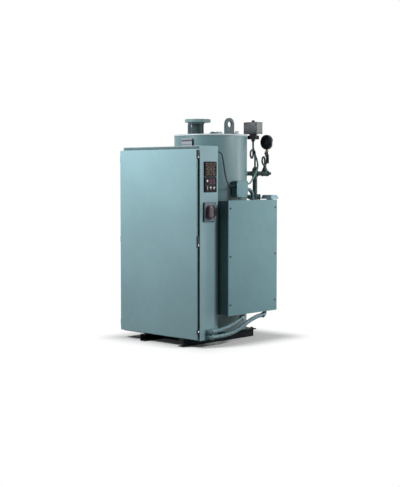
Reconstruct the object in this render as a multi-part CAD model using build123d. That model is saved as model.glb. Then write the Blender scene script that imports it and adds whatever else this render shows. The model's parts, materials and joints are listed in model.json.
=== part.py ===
from build123d import *
from math import cos, pi, radians, sin, tan
import os

# Upright electric steam boiler on a channel skid, in millimetres.
# The origin is the point where the vessel's axis meets the floor. +Z is up, -Y is the cabinet's
# front and +X is the side with the terminal box.

# Clearances and common sheet
seat = 0.3
sheet = 2.5

# Skid: two long channels with their toes inwards, cross channels between them and a deck plate
rail_height = 50
rail_flange = 50
rail_steel = 6
rail_gap = 344
rail_front_reach = 13.5
rail_back_setback = 34
cross_width = 40
cross_front_y = -300
cross_rear_inset = 24
deck_steel = 8
deck_width = 472
deck_front_setback = 4
deck_back_setback = 18

# Vessel: jacketed upright cylinder
jacket_radius = 272
jacket_wall = 12
jacket_top = 1500
foot_ring_outer = 235
foot_ring_inner = 205
foot_ring_height = 10
bottom_plate = 12
lap_width = 24
lap_steel = 1.6
lap_angle = -97
cap_thickness = 15
cap_overhang = 4
cap_fillet = 7
cap_reveal = 3
cap_reveal_inset = 3

# Steam outlet: flanged pipe stub
nozzle_y = -140
nozzle_depth = 20
weld_ring = 6
pipe_outer = 88.9
pipe_bore = 77.9
flange_outer = 190.5
flange_thickness = 22.3
raised_face = 1.6
raised_face_diameter = 127
nozzle_height = 112
bolt_circle = 152.4
bolt_hole = 19
bolt_count = 4
hub_diameter = 108
hub_height = 16

# Lifting lugs, inspection cover and plug on the cap
lug_x = 186
lug_width = 94
lug_thickness = 16
lug_height = 120
lug_hole = 46
lug_hole_drop = 47
cover_centre = (0, 60)
cover_diameter = 110
cover_height = 14
cover_pad_diameter = 92
cover_pad_height = 8
plug_centre = (150, 125)
plug_diameter = 38
plug_collar_height = 16
plug_head = 24
plug_head_height = 12

# Blank data plate that stands off the front of the jacket
plate_x = 20
plate_width = 104
plate_height = 58
plate_drop = 73
plate_steel = 2
plate_gap = 5
plate_post = 8
plate_post_spacing = 80

# Cabinet: sheet box with a necked front opening
cabinet_width = 784
cabinet_depth = 188
cabinet_height = 1370
cabinet_shift = -56
cabinet_standoff = 12.5
cabinet_edge = 3
door_edge = 2.2
neck_inset = 14
door_bottom_reveal = 10
door_top_reveal = 24
door_gap = 24
door_rim = 10
panel_steel = 3
panel_side_margin = 42
panel_end_margin = 50
panel_standoff = 14
standoff_diameter = 14

# Door hinges and clamps
hinge_axis_out = 10
hinge_axis_back = 19.5
knuckle_radius = 7
knuckle_height = 14
pin_radius = 3
pin_clearance = 0.3
leaf_steel = 3
leaf_length = 28
leaf_height = 44
fitting_bottom_inset = 60
fitting_top_inset = 63
fitting_middle_rise = 12
clamp_out = 9
clamp_length = 22
clamp_foot = (15, 25, 0)
clamp_rise = (15, 52, 58)
clamp_corner = 4
clamp_step = 3

# Instruments on the cabinet's right side
display_inset = 83.5
display_width = 124
display_height = 105
display_proud = 8
display_gap = 4
display_drop = 217
display_recess = 1.5
display_border = 5
switch_inset = 92
switch_drop = 463
switch_width = 119
switch_height = 134
switch_proud = 12
switch_corner = 8
handle_boss_diameter = 52
handle_boss_height = 14
grip_length = 92
grip_width = 40
grip_rise = 14
grip_fillet = 5
handle_spindle = 12
spindle_length = 10

# Terminal box on the vessel's right side
box_standoff = 18
box_depth = 130
box_width = 530
box_bottom = 218
box_height = 814
box_flange = 22
cover_steel = 2.5
cover_depth = 9
cover_lap = 4
neck_width = 260
neck_margin = 82

# Vent hood on the terminal box
hood_inset_x = 44
hood_inset_y = 24
hood_length = 103
hood_width = 87
hood_height = 29
hood_taper = 10
hood_stem = 32
hood_stem_height = 8

# Probe box above the terminal box
probe_standoff = 4
probe_depth = 46
probe_cover = 3
probe_y = -8.5
probe_width = 121
probe_gap = 24
probe_height = 117
probe_pad = 70

# Trim piping in one upright plane through the vessel's axis
trim_angle = 56
trim_pipe = 33.4
column_pipe = 26.7
small_pipe = 21.3
trim_height = 1228
trim_end_reach = 47
column_standoff = 72
gauge_tee_spacing = 77
tee_diameter = 40
tee_length = 47
tee_band = 44
band_width = 6
branch_up = 32
branch_down = 30
branch_short = 29
plug_square = 16
column_tee_drop = 177
column_tee_branch = 40
foot_height = 440
foot_socket = 10
drain_length = 60
valve_length = 24
valve_rise = 18

# Pigtail siphons
siphon_tube = 13.7
siphon_radius = 30.5
siphon_offset = 16
siphon_direction = 284
gauge_ring_rise = 94
gauge_leg = 45
control_ring_rise = 147
control_leg = 110
reducer_height = 27
reducer_top = 18

# Gauge, its cock and lever
gauge_diameter = 110
gauge_depth = 25
gauge_wall = 3
bezel_width = 7
dial_thickness = 2
dial_recess = 5
movement_diameter = 33
gauge_stem = 16
cock_length = 26
cock_diameter = 22
cock_barrel = 20
cock_barrel_length = 26
lever_length = 72
lever_width = 11
lever_steel = 4
lever_hub = 18

# Pressure control
control_base_diameter = 90
control_base_height = 28
control_neck_diameter = 58
control_neck_height = 12
control_width = 129
control_depth = 69
control_height = 89
control_fillet = 4
knob_diameter = 22
knob_height = 14

# Flexible conduits and cables
conduit_diameter = 30
conduit_nut = 36
conduit_nut_length = 12
conduit_body = 31
conduit_locknut = 5
outlet_heights = {"front": 109, "rear": 69}
elbow_out = 26
elbow_reach = 26
elbow_bend = 0.7
cable_diameter = 10
gland_diameter = 18
control_cable_diameter = 13
control_gland_reach = 30
control_gland_angle = 133.5
probe_elbow_body = 27
probe_elbow_nut = 32
probe_elbow_x = 306
probe_elbow_reach = 72
probe_elbow_rise = 54
gland_length = 14
probe_cable_drop = 40
probe_cable_entry = 81
control_cable_entry = 96

# Heights and places that follow from the sizes above
deck_top = rail_height + deck_steel
jacket_bottom = deck_top + foot_ring_height
cap_top = jacket_top + cap_thickness
flange_top = cap_top + nozzle_height
plate_bottom = jacket_top - plate_drop
cabinet_bottom = rail_height
cabinet_back_y = -(jacket_radius + cabinet_standoff)
cabinet_top = cabinet_bottom + cabinet_height
cabinet_right = cabinet_shift + cabinet_width / 2
cabinet_left = cabinet_shift - cabinet_width / 2
cabinet_front_y = cabinet_back_y - cabinet_depth
door_back_y = cabinet_front_y - door_gap
door_front_y = door_back_y - door_rim
door_skin_y = door_front_y + sheet
door_bottom = cabinet_bottom + door_bottom_reveal
door_top = cabinet_top - door_top_reveal
fitting_heights = (
    door_bottom + fitting_bottom_inset,
    (door_bottom + door_top) / 2 + fitting_middle_rise,
    door_top - fitting_top_inset,
)
display_centre_y = cabinet_back_y - display_inset
display_centre_z = cabinet_top - display_drop
switch_centre_y = cabinet_back_y - switch_inset
switch_centre_z = cabinet_top - switch_drop
deck_front_y = deck_front_setback - jacket_radius
deck_back_y = jacket_radius - deck_back_setback
rail_front_y = door_front_y - rail_front_reach
rail_back_y = jacket_radius - rail_back_setback
cross_centres = {
    "front": cross_front_y,
    "middle": 0,
    "rear": rail_back_y - cross_rear_inset,
}
neck_front_y = door_skin_y + seat
neck_left = cabinet_left + neck_inset
neck_right = cabinet_right - neck_inset
neck_bottom_z = door_bottom + neck_inset
neck_top_z = door_top - neck_inset
hinge_x = cabinet_left - hinge_axis_out
hinge_y = door_front_y + hinge_axis_back
box_back_x = jacket_radius + box_standoff
box_front_x = box_back_x + box_depth
box_top = box_bottom + box_height
neck_bottom = box_bottom + neck_margin
neck_top = box_top - neck_margin
hood_x = box_front_x - hood_inset_x
hood_y = box_width / 2 - hood_inset_y
probe_back_x = jacket_radius + probe_standoff
probe_front_x = probe_back_x + probe_depth
probe_bottom = box_top + probe_gap
column_radius = jacket_radius + column_standoff
gauge_tee_radius = column_radius + gauge_tee_spacing
trim_end = gauge_tee_radius + trim_end_reach
column_bottom = foot_height + tee_length / 2 + foot_socket
column_tee_height = trim_height - column_tee_drop
gauge_ring_height = trim_height + gauge_ring_rise
control_ring_height = trim_height + control_ring_rise
control_stem_top = control_ring_height + control_leg
cock_bottom = gauge_ring_height + gauge_leg
cock_top = cock_bottom + cock_length
gauge_height = cock_top + gauge_stem + gauge_diameter / 2
trim_direction = (cos(radians(trim_angle)), sin(radians(trim_angle)))
column_x = column_radius * trim_direction[0]
column_y = column_radius * trim_direction[1]
gauge_tee_x = gauge_tee_radius * trim_direction[0]
gauge_tee_y = gauge_tee_radius * trim_direction[1]
ring_side = (
    cos(radians(siphon_direction + 90)),
    sin(radians(siphon_direction + 90)),
)
gauge_x = gauge_tee_x + siphon_offset * ring_side[0]
gauge_y = gauge_tee_y + siphon_offset * ring_side[1]
control_x = column_x - siphon_offset * ring_side[0]
control_y = column_y - siphon_offset * ring_side[1]
cover_front_x = box_front_x + cover_steel
flange_face_z = flange_top - raised_face
flange_back_z = flange_face_z - flange_thickness
elbow_x = cabinet_right + elbow_out


# Basic solids, each given by its lowest and highest corner or by two ends
def block(x0, x1, y0, y1, z0, z1):
    size = (x1 - x0, y1 - y0, z1 - z0)
    middle = ((x0 + x1) / 2, (y0 + y1) / 2, (z0 + z1) / 2)
    return Pos(*middle) * Box(*size)


def post(x, y, z0, z1, diameter):
    return Pos(x, y, (z0 + z1) / 2) * Cylinder(diameter / 2, z1 - z0)


def rod(start, end, diameter):
    start, end = Vector(*start), Vector(*end)
    run = end - start
    return extrude(Plane(start, z_dir=run) * Circle(diameter / 2), amount=run.length)


def trim_point(radius, z):
    return (radius * trim_direction[0], radius * trim_direction[1], z)


def swept_tube(path, diameter):
    start = Plane(path @ 0, z_dir=path % 0)
    return sweep(start * Circle(diameter / 2), path=path)


# Skid
def channel(web, toe_direction):
    toe = web + toe_direction * rail_flange
    outline = [
        (web, 0),
        (toe, 0),
        (toe, rail_steel),
        (web + toe_direction * rail_steel, rail_steel),
        (web + toe_direction * rail_steel, rail_height - rail_steel),
        (toe, rail_height - rail_steel),
        (toe, rail_height),
        (web, rail_height),
    ]
    face = Plane((0, rail_front_y, 0), x_dir=(1, 0, 0), z_dir=(0, -1, 0)) * make_face(
        Polyline(*outline, close=True)
    )
    return extrude(face, amount=-(rail_back_y - rail_front_y))


def cross_channel(centre_y):
    half = cross_width / 2
    body = block(-rail_gap / 2, rail_gap / 2, centre_y - half, centre_y + half, 0, rail_height)
    hollow = block(
        -rail_gap / 2,
        rail_gap / 2,
        centre_y - half + rail_steel,
        centre_y + half,
        rail_steel,
        rail_height - rail_steel,
    )
    return body - hollow


def deck_plate():
    half = deck_width / 2
    return block(-half, half, deck_front_y, deck_back_y, rail_height, deck_top)


# Vessel
def vessel_jacket():
    height = jacket_top - jacket_bottom
    outer = post(0, 0, jacket_bottom, jacket_top, 2 * jacket_radius)
    inner = post(0, 0, jacket_bottom, jacket_top, 2 * (jacket_radius - jacket_wall))
    lap_ring = post(0, 0, jacket_bottom, jacket_top, 2 * (jacket_radius + lap_steel)) - outer
    strip = Pos(jacket_radius, 0, jacket_bottom + height / 2) * Box(lap_width, lap_width, height)
    return (outer - inner) + (lap_ring & (Rot(0, 0, lap_angle) * strip))


def vessel_bottom_head():
    inside = 2 * (jacket_radius - jacket_wall - seat)
    plate = post(0, 0, jacket_bottom, jacket_bottom + bottom_plate, inside)
    ring = post(0, 0, deck_top, jacket_bottom, 2 * foot_ring_outer)
    return plate + (ring - post(0, 0, deck_top, jacket_bottom, 2 * foot_ring_inner))


def vessel_top_cap():
    shoulder = jacket_top + cap_reveal
    cap = post(0, 0, shoulder, cap_top, 2 * (jacket_radius + cap_overhang))
    cap = fillet(cap.edges().filter_by(GeomType.CIRCLE).group_by(Axis.Z)[-1], cap_fillet)
    cap += post(0, 0, jacket_top, shoulder, 2 * (jacket_radius - cap_reveal_inset))
    return cap - post(0, nozzle_y, jacket_top, cap_top, pipe_outer + 2 * seat)


def steam_nozzle():
    bottom = jacket_top - nozzle_depth
    top = flange_back_z - hub_height
    neck = post(0, nozzle_y, bottom, top, pipe_outer)
    weld = Pos(0, nozzle_y, cap_top + weld_ring / 2) * Cone(
        pipe_outer / 2 + weld_ring, pipe_outer / 2, weld_ring
    )
    return neck + weld - post(0, nozzle_y, bottom, top, pipe_bore)


def steam_flange():
    hub = Pos(0, nozzle_y, flange_back_z - hub_height / 2) * Cone(
        pipe_outer / 2, hub_diameter / 2, hub_height
    )
    flange = post(0, nozzle_y, flange_back_z, flange_face_z, flange_outer)
    raised = post(0, nozzle_y, flange_face_z, flange_top, raised_face_diameter)
    holes = PolarLocations(bolt_circle / 2, bolt_count, start_angle=180 / bolt_count)
    middle = Pos(0, nozzle_y, (flange_back_z + flange_face_z) / 2)
    bolts = [middle * spot * Cylinder(bolt_hole / 2, 2 * flange_thickness) for spot in holes]
    bore = post(0, nozzle_y, flange_back_z - hub_height, flange_top, pipe_bore)
    return hub + flange + raised - bolts - bore


def lifting_lug(x):
    crown = lug_width / 2
    straight = lug_height - crown
    outline = Pos(0, straight / 2) * Rectangle(lug_width, straight)
    outline += Pos(0, straight) * Circle(crown)
    outline -= Pos(0, lug_height - lug_hole_drop) * Circle(lug_hole / 2)
    side = Plane((x - lug_thickness / 2, 0, cap_top), x_dir=(0, 1, 0), z_dir=(1, 0, 0))
    lug = extrude(side * outline, amount=lug_thickness)
    return lug & block(x - lug_width, x + lug_width, -crown, crown, cap_top, cap_top + lug_height)


def inspection_cover():
    x, y = cover_centre
    lid = post(x, y, cap_top, cap_top + cover_height, cover_diameter)
    lid = fillet(lid.edges().filter_by(GeomType.CIRCLE).group_by(Axis.Z)[-1], 2)
    top = cap_top + cover_height
    return lid + post(x, y, top, top + cover_pad_height, cover_pad_diameter)


def vent_plug():
    x, y = plug_centre
    shoulder = cap_top + plug_collar_height
    collar = post(x, y, cap_top, shoulder, plug_diameter)
    head = Pos(x, y, shoulder) * RegularPolygon(plug_head / 2, 6, major_radius=False)
    return collar + extrude(head, amount=plug_head_height)


def data_plate():
    front = -(jacket_radius + plate_gap + plate_steel)
    left = plate_x - plate_width / 2
    top = plate_bottom + plate_height
    plate = block(left, left + plate_width, front, front + plate_steel, plate_bottom, top)
    middle = plate_bottom + plate_height / 2
    posts = []
    for side in (-1, 1):
        x = plate_x + side * plate_post_spacing / 2
        stud = rod((x, front + plate_steel, middle), (x, 0, middle), plate_post)
        posts.append(stud - post(0, 0, middle - plate_post, middle + plate_post,
                                 2 * (jacket_radius + lap_steel + seat)))
    return plate + [p.solids().sort_by(Axis.Y)[0] for p in posts]


# Cabinet
def cabinet_body():
    shell = block(cabinet_left, cabinet_right, cabinet_front_y, cabinet_back_y,
                  cabinet_bottom, cabinet_top)
    shell = fillet(shell.edges().filter_by(Axis.Z), cabinet_edge)
    shell = fillet(shell.faces().sort_by(Axis.Z)[-1].edges(), cabinet_edge)
    inside = block(cabinet_left + sheet, cabinet_right - sheet, cabinet_front_y + sheet,
                   cabinet_back_y - sheet, cabinet_bottom + sheet, cabinet_top - sheet)
    neck = block(neck_left, neck_right, neck_front_y, cabinet_front_y, neck_bottom_z, neck_top_z)
    opening = block(neck_left + sheet, neck_right - sheet, neck_front_y,
                    cabinet_front_y + sheet, neck_bottom_z + sheet, neck_top_z - sheet)
    return (shell - inside) + neck - opening


def cabinet_panel():
    back = cabinet_back_y - sheet - panel_standoff
    half = cabinet_width / 2 - panel_side_margin
    low, high = cabinet_bottom + panel_end_margin, cabinet_top - panel_end_margin
    panel = block(cabinet_shift - half, cabinet_shift + half, back - panel_steel, back, low, high)
    margin = 2 * standoff_diameter
    studs = []
    for x in (cabinet_shift - half + margin, cabinet_shift + half - margin):
        for z in (low + margin, high - margin):
            studs.append(rod((x, back, z), (x, cabinet_back_y - sheet, z), standoff_diameter))
    return panel + studs


def cabinet_door():
    outer = block(cabinet_left, cabinet_right, door_front_y, door_back_y, door_bottom, door_top)
    outer = fillet(outer.edges().filter_by(Axis.Y), cabinet_edge)
    outer = fillet(outer.faces().sort_by(Axis.Y)[0].edges(), door_edge)
    inner = block(cabinet_left + sheet, cabinet_right - sheet, door_skin_y, door_back_y,
                  door_bottom + sheet, door_top - sheet)
    return outer - inner


def hinge_profile(reach_y, plate_x0, plate_x1):
    arm = make_hull(
        (Pos(hinge_x, hinge_y) * Circle(knuckle_radius)).edges()
        + Polyline(
            (plate_x0, reach_y), (plate_x1, reach_y), (plate_x1, hinge_y), close=True
        ).edges()
    )
    return arm


def hinge_body_leaf(z):
    tongue = hinge_profile(cabinet_front_y, cabinet_left - leaf_steel, cabinet_left)
    knuckle = extrude(Pos(0, 0, z - knuckle_height) * tongue, amount=knuckle_height - seat)
    keep_off = block(cabinet_left - leaf_steel, cabinet_left + knuckle_radius, door_front_y,
                     cabinet_front_y - 2 * leaf_steel, z - leaf_height, z + leaf_height)
    plate = block(cabinet_left - leaf_steel, cabinet_left, cabinet_front_y,
                  cabinet_front_y + leaf_length, z - leaf_height / 2, z + leaf_height / 2)
    pin = post(hinge_x, hinge_y, z - knuckle_height, z + knuckle_height, 2 * pin_radius)
    return (knuckle - keep_off) + plate + pin


def hinge_door_leaf(z):
    tongue = hinge_profile(door_front_y + sheet, cabinet_left - leaf_steel, cabinet_left)
    knuckle = extrude(Pos(0, 0, z) * tongue, amount=knuckle_height)
    plate = block(cabinet_left - leaf_steel, cabinet_left, door_front_y + sheet / 2,
                  door_back_y, z - leaf_height / 2, z + leaf_height / 2)
    bore = post(hinge_x, hinge_y, z - seat, z + 2 * knuckle_height, 2 * (pin_radius + pin_clearance))
    return knuckle + plate - bore


def door_clamp(place):
    low = fitting_heights[place] - clamp_foot[place]
    high = fitting_heights[place] + clamp_rise[place]
    front = door_front_y + cabinet_edge
    clamp = block(cabinet_right, cabinet_right + clamp_out, front, front + clamp_length, low, high)
    clamp = fillet(clamp.edges().filter_by(Axis.X), clamp_corner)
    return chamfer(clamp.faces().sort_by(Axis.X)[-1].edges(), clamp_step)


# Instruments and disconnect on the cabinet's side
def controller(bottom):
    front = cabinet_right + display_proud
    left = display_centre_y - display_width / 2
    case = block(cabinet_right, front, left, left + display_width, bottom, bottom + display_height)
    case = chamfer(case.faces().sort_by(Axis.X)[-1].edges(), display_recess)
    window = block(front - display_recess, front, left + display_border,
                   left + display_width - display_border, bottom + display_border,
                   bottom + display_height - display_border)
    return case - window


def disconnect_plate():
    front = cabinet_right + switch_proud
    plate = block(cabinet_right, front, switch_centre_y - switch_width / 2,
                  switch_centre_y + switch_width / 2, switch_centre_z - switch_height / 2,
                  switch_centre_z + switch_height / 2)
    plate = fillet(plate.edges().filter_by(Axis.X), switch_corner)
    socket = rod((front - spindle_length - seat, switch_centre_y, switch_centre_z),
                 (front, switch_centre_y, switch_centre_z), handle_spindle + 2 * pin_clearance)
    return plate - socket


def disconnect_handle():
    start = cabinet_right + switch_proud + seat
    centre = (switch_centre_y, switch_centre_z)
    boss = rod((start, *centre), (start + handle_boss_height, *centre), handle_boss_diameter)
    side = Plane((start + handle_boss_height, *centre), x_dir=(0, 1, 0), z_dir=(1, 0, 0))
    grip = extrude(side * SlotOverall(grip_length, grip_width, rotation=90), amount=grip_rise)
    grip = fillet(grip.faces().sort_by(Axis.X)[-1].edges(), grip_fillet)
    spindle = rod((start - spindle_length, *centre), (start, *centre), handle_spindle)
    return boss + grip + spindle


# Terminal box and hood
def terminal_box_neck():
    half = neck_width / 2
    collar = block(0, box_back_x, -half, half, neck_bottom, neck_top)
    return collar - post(0, 0, neck_bottom, neck_top, 2 * (jacket_radius + seat))


def terminal_box_body():
    half = box_width / 2
    shell = block(box_back_x, box_front_x, -half, half, box_bottom, box_top)
    inside = block(box_back_x + sheet, box_front_x - sheet, -half + sheet, half - sheet,
                   box_bottom + sheet, box_top - sheet)
    opening = block(box_front_x - sheet, box_front_x, -half + box_flange, half - box_flange,
                    box_bottom + box_flange, box_top - box_flange)
    return shell - inside - opening


def terminal_box_cover():
    half = box_width / 2 + cover_lap
    low, top = box_bottom - cover_lap, box_top + cover_lap
    pan = block(box_front_x + cover_steel - cover_depth, cover_front_x, -half, half, low, top)
    inner = half - cover_lap + seat
    hollow = block(box_front_x + cover_steel - cover_depth, box_front_x, -inner, inner,
                   low + cover_lap - seat, top - cover_lap + seat)
    return pan - hollow


def vent_hood():
    stem = post(hood_x, hood_y, box_top, box_top + hood_stem_height, hood_stem)
    base = Pos(hood_x, hood_y, box_top + hood_stem_height) * Rectangle(hood_length, hood_width)
    top = Pos(hood_x, hood_y, box_top + hood_stem_height + hood_height) * Rectangle(
        hood_length - 2 * hood_taper, hood_width - 2 * hood_taper
    )
    return stem + loft([base, top])


# Probe box
def probe_box_body():
    half = probe_width / 2
    body = block(probe_back_x, probe_front_x, probe_y - half, probe_y + half,
                 probe_bottom, probe_bottom + probe_height)
    body = fillet(body.edges().filter_by(Axis.X), switch_corner)
    middle = probe_bottom + probe_height / 2
    pad = rod((0, probe_y, middle), (probe_back_x, probe_y, middle), probe_pad)
    return body + (pad - post(0, 0, probe_bottom, probe_bottom + probe_height,
                              2 * (jacket_radius + seat)))


def probe_box_cover():
    half = probe_width / 2
    cover = block(probe_front_x, probe_front_x + probe_cover, probe_y - half, probe_y + half,
                  probe_bottom, probe_bottom + probe_height)
    return fillet(cover.edges().filter_by(Axis.X), switch_corner)


# Trim piping
def fitting_tee(centre, run, branch, branch_length):
    run, branch = Vector(*run).normalized(), Vector(*branch).normalized()
    centre = Vector(*centre)
    tee = rod(centre - run * (tee_length / 2), centre + run * (tee_length / 2), tee_diameter)
    tee += rod(centre, centre + branch * branch_length, tee_diameter)
    for side in (-1, 1):
        inner = centre + run * (side * (tee_length / 2 - band_width))
        outer = centre + run * (side * tee_length / 2)
        tee += rod(inner, outer, tee_band)
    tip = centre + branch * branch_length
    return tee + rod(tip - branch * band_width, tip, tee_band)


def manifold():
    out = (*trim_direction, 0)
    pipe = rod(trim_point(jacket_radius - jacket_wall, trim_height),
               trim_point(trim_end - plug_square, trim_height), trim_pipe)
    cross = fitting_tee(trim_point(column_radius, trim_height), out, (0, 0, 1), branch_up)
    cross += fitting_tee(trim_point(column_radius, trim_height), out, (0, 0, -1), branch_down)
    tee = fitting_tee(trim_point(gauge_tee_radius, trim_height), out, (0, 0, 1), branch_short)
    low = trim_height + branch_short
    reducer = Pos(gauge_tee_x, gauge_tee_y, low + reducer_height / 2) * Cone(
        tee_diameter / 2, reducer_top / 2, reducer_height
    )
    end = rod(trim_point(trim_end - plug_square, trim_height), trim_point(trim_end, trim_height),
              small_pipe)
    whole = pipe + cross + tee + reducer + end
    return whole - post(0, 0, trim_height - tee_band, trim_height + tee_band,
                        2 * (jacket_radius + seat))


def water_column():
    top = trim_height - branch_down
    pipe = post(column_x, column_y, column_bottom, top, column_pipe)
    out = (*trim_direction, 0)
    tee = fitting_tee((column_x, column_y, column_tee_height), (0, 0, 1), out, column_tee_branch)
    return pipe + tee


def column_link():
    start = trim_point(jacket_radius - jacket_wall, column_tee_height)
    end = trim_point(column_radius - tee_diameter / 2, column_tee_height)
    link = rod(start, end, small_pipe)
    link -= post(0, 0, column_tee_height - trim_pipe, column_tee_height + trim_pipe,
                 2 * (jacket_radius + seat))
    return link - post(column_x, column_y, column_tee_height - trim_pipe,
                       column_tee_height + trim_pipe, tee_diameter)


def water_column_foot():
    back = (-trim_direction[0], -trim_direction[1], 0)
    centre = (column_x, column_y, foot_height)
    tee = fitting_tee(centre, (0, 0, 1), back, branch_down)
    top = foot_height + tee_length / 2
    tee += post(column_x, column_y, top, column_bottom, tee_diameter)
    nipple = rod(trim_point(jacket_radius - jacket_wall, foot_height),
                 trim_point(column_radius, foot_height), column_pipe)
    nipple -= post(0, 0, foot_height - trim_pipe, foot_height + trim_pipe,
                   2 * (jacket_radius + seat))
    low = foot_height - tee_length / 2
    drain = post(column_x, column_y, low - drain_length, low, column_pipe)
    seat_z = low - drain_length + valve_rise
    valve = post(column_x, column_y, seat_z, seat_z + valve_length, tee_band)
    return tee + nipple + drain + valve


def siphon(x, y, start_z, ring_z, end_z, sign):
    lead = Vector(cos(radians(siphon_direction)), sin(radians(siphon_direction)), 0)
    side = Vector(*ring_side, 0) * sign
    first = Vector(x, y, ring_z)
    last = first + side * siphon_offset
    far = (first + last) * 0.5 + lead * (2 * siphon_radius)
    up = Vector(0, 0, (far - first).length / 2)
    over = (first + far) * 0.5 + up
    under = (far + last) * 0.5 - up
    path = Line(Vector(x, y, start_z), first)
    path += ThreePointArc(first, over, far)
    path += ThreePointArc(far, under, last)
    path += Line(last, Vector(last.X, last.Y, end_z))
    wire = Wire(path.edges())
    return sweep(Plane(Vector(x, y, start_z), z_dir=(0, 0, 1)) * Circle(siphon_tube / 2), path=wire)


def gauge_siphon():
    start = trim_height + branch_short + reducer_height
    return siphon(gauge_tee_x, gauge_tee_y, start, gauge_ring_height, cock_bottom, 1)


def control_siphon():
    start = trim_height + branch_up
    return siphon(column_x, column_y, start, control_ring_height, control_stem_top, -1)


def gauge_cock_body():
    body = post(gauge_x, gauge_y, cock_bottom, cock_top, cock_diameter)
    middle = (cock_bottom + cock_top) / 2
    barrel = rod((gauge_x - cock_barrel_length / 2, gauge_y, middle),
                 (gauge_x + cock_barrel_length / 2, gauge_y, middle), cock_barrel)
    return body + barrel


def gauge_cock_lever():
    middle = (cock_bottom + cock_top) / 2
    start = gauge_x + cock_barrel_length / 2 + seat
    hub = rod((start, gauge_y, middle), (start + lever_steel, gauge_y, middle), lever_hub)
    bar = block(start, start + lever_steel, gauge_y - lever_width / 2, gauge_y + lever_width / 2,
                middle - lever_length, middle)
    tip = rod((start, gauge_y, middle - lever_length),
              (start + lever_steel, gauge_y, middle - lever_length), lever_width)
    return hub + bar + tip


def gauge_case():
    back = gauge_y - gauge_depth / 2
    front = gauge_y + gauge_depth / 2
    case = rod((gauge_x, back, gauge_height), (gauge_x, front, gauge_height), gauge_diameter)
    case = fillet(case.edges().filter_by(GeomType.CIRCLE).sort_by(Axis.Y)[0], gauge_wall)
    cavity = rod((gauge_x, back + gauge_wall, gauge_height), (gauge_x, front, gauge_height),
                 gauge_diameter - 2 * bezel_width)
    low = gauge_height - gauge_diameter / 2
    stem = post(gauge_x, gauge_y, low - gauge_stem, low + bezel_width / 2, gauge_stem)
    return (case + stem) - cavity


def gauge_dial():
    front = gauge_y + gauge_depth / 2 - dial_recess
    back = gauge_y - gauge_depth / 2 + gauge_wall
    face = gauge_diameter - 2 * bezel_width - 2 * seat
    plate = rod((gauge_x, front - dial_thickness, gauge_height), (gauge_x, front, gauge_height), face)
    movement = rod((gauge_x, back, gauge_height), (gauge_x, front - dial_thickness, gauge_height),
                   movement_diameter)
    return plate + movement


def pressure_control_base():
    low = post(control_x, control_y, control_stem_top, control_stem_top + control_base_height,
               control_base_diameter)
    low = fillet(low.edges().filter_by(GeomType.CIRCLE), control_fillet)
    shoulder = control_stem_top + control_base_height
    return low + post(control_x, control_y, shoulder, shoulder + control_neck_height,
                      control_neck_diameter)


def pressure_control_case():
    bottom = control_stem_top + control_base_height + control_neck_height
    case = block(control_x - control_width / 2, control_x + control_width / 2,
                 control_y - control_depth / 2, control_y + control_depth / 2,
                 bottom, bottom + control_height)
    return fillet(case.edges().filter_by(Axis.Z), control_fillet)


def pressure_control_knob():
    bottom = control_stem_top + control_base_height + control_neck_height + control_height
    return post(control_x, control_y, bottom, bottom + knob_height, knob_diameter)


# Conduit fittings: an elbow swept round one corner, with a nut at each end
def elbow(start, corner, end, width=conduit_body, nut_width=conduit_nut):
    start, corner, end = Vector(*start), Vector(*corner), Vector(*end)
    inward = (corner - start).normalized()
    outward = (end - corner).normalized()
    half_turn = radians(inward.get_angle(outward)) / 2
    room = min((corner - start).length, (end - corner).length) * elbow_bend
    path = FilletPolyline(start, corner, end, radius=room / tan(half_turn))
    body = swept_tube(path, width)
    lock = rod(start, start + inward * conduit_locknut, nut_width)
    nut = rod(end - outward * conduit_nut_length, end, nut_width)
    return body + lock + nut


def cabinet_elbow(z):
    y = conduit_start_y - elbow_reach
    return elbow((cabinet_right, y, z), (elbow_x, y, z), (elbow_x, conduit_start_y, z))


def box_elbow(end, direction):
    end, direction = Vector(*end), Vector(*direction).normalized()
    corner = end + direction * elbow_reach
    return elbow((corner.X, corner.Y, box_bottom), corner, end)


def probe_elbow():
    side = probe_y + probe_width / 2
    z = probe_bottom + probe_elbow_rise
    corner = (probe_elbow_x, side + probe_elbow_reach, z)
    end = (probe_elbow_x, side + probe_elbow_reach, box_top)
    return elbow((probe_elbow_x, side, z), corner, end, probe_elbow_body, probe_elbow_nut)


# Flexible runs: straight lengths joined by tangent arcs through the listed points
def cord_radii(points):
    radii = []
    for before, here, after in zip(points, points[1:], points[2:]):
        arrive = Vector(*here) - Vector(*before)
        leave = Vector(*after) - Vector(*here)
        half_turn = radians(arrive.get_angle(leave)) / 2
        radii.append(0.45 * min(arrive.length, leave.length) / tan(half_turn))
    return radii


def cord(name, points, diameter):
    radii = cord_radii(points)
    path = FilletPolyline(*points, radius=radii)
    tube = swept_tube(path, diameter)
    expected = pi * diameter**2 / 4 * path.length
    print(name, "length", round(path.length), "radii", [round(r) for r in radii],
          "volume ratio", round(tube.volume / expected, 4))
    return tube


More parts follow.
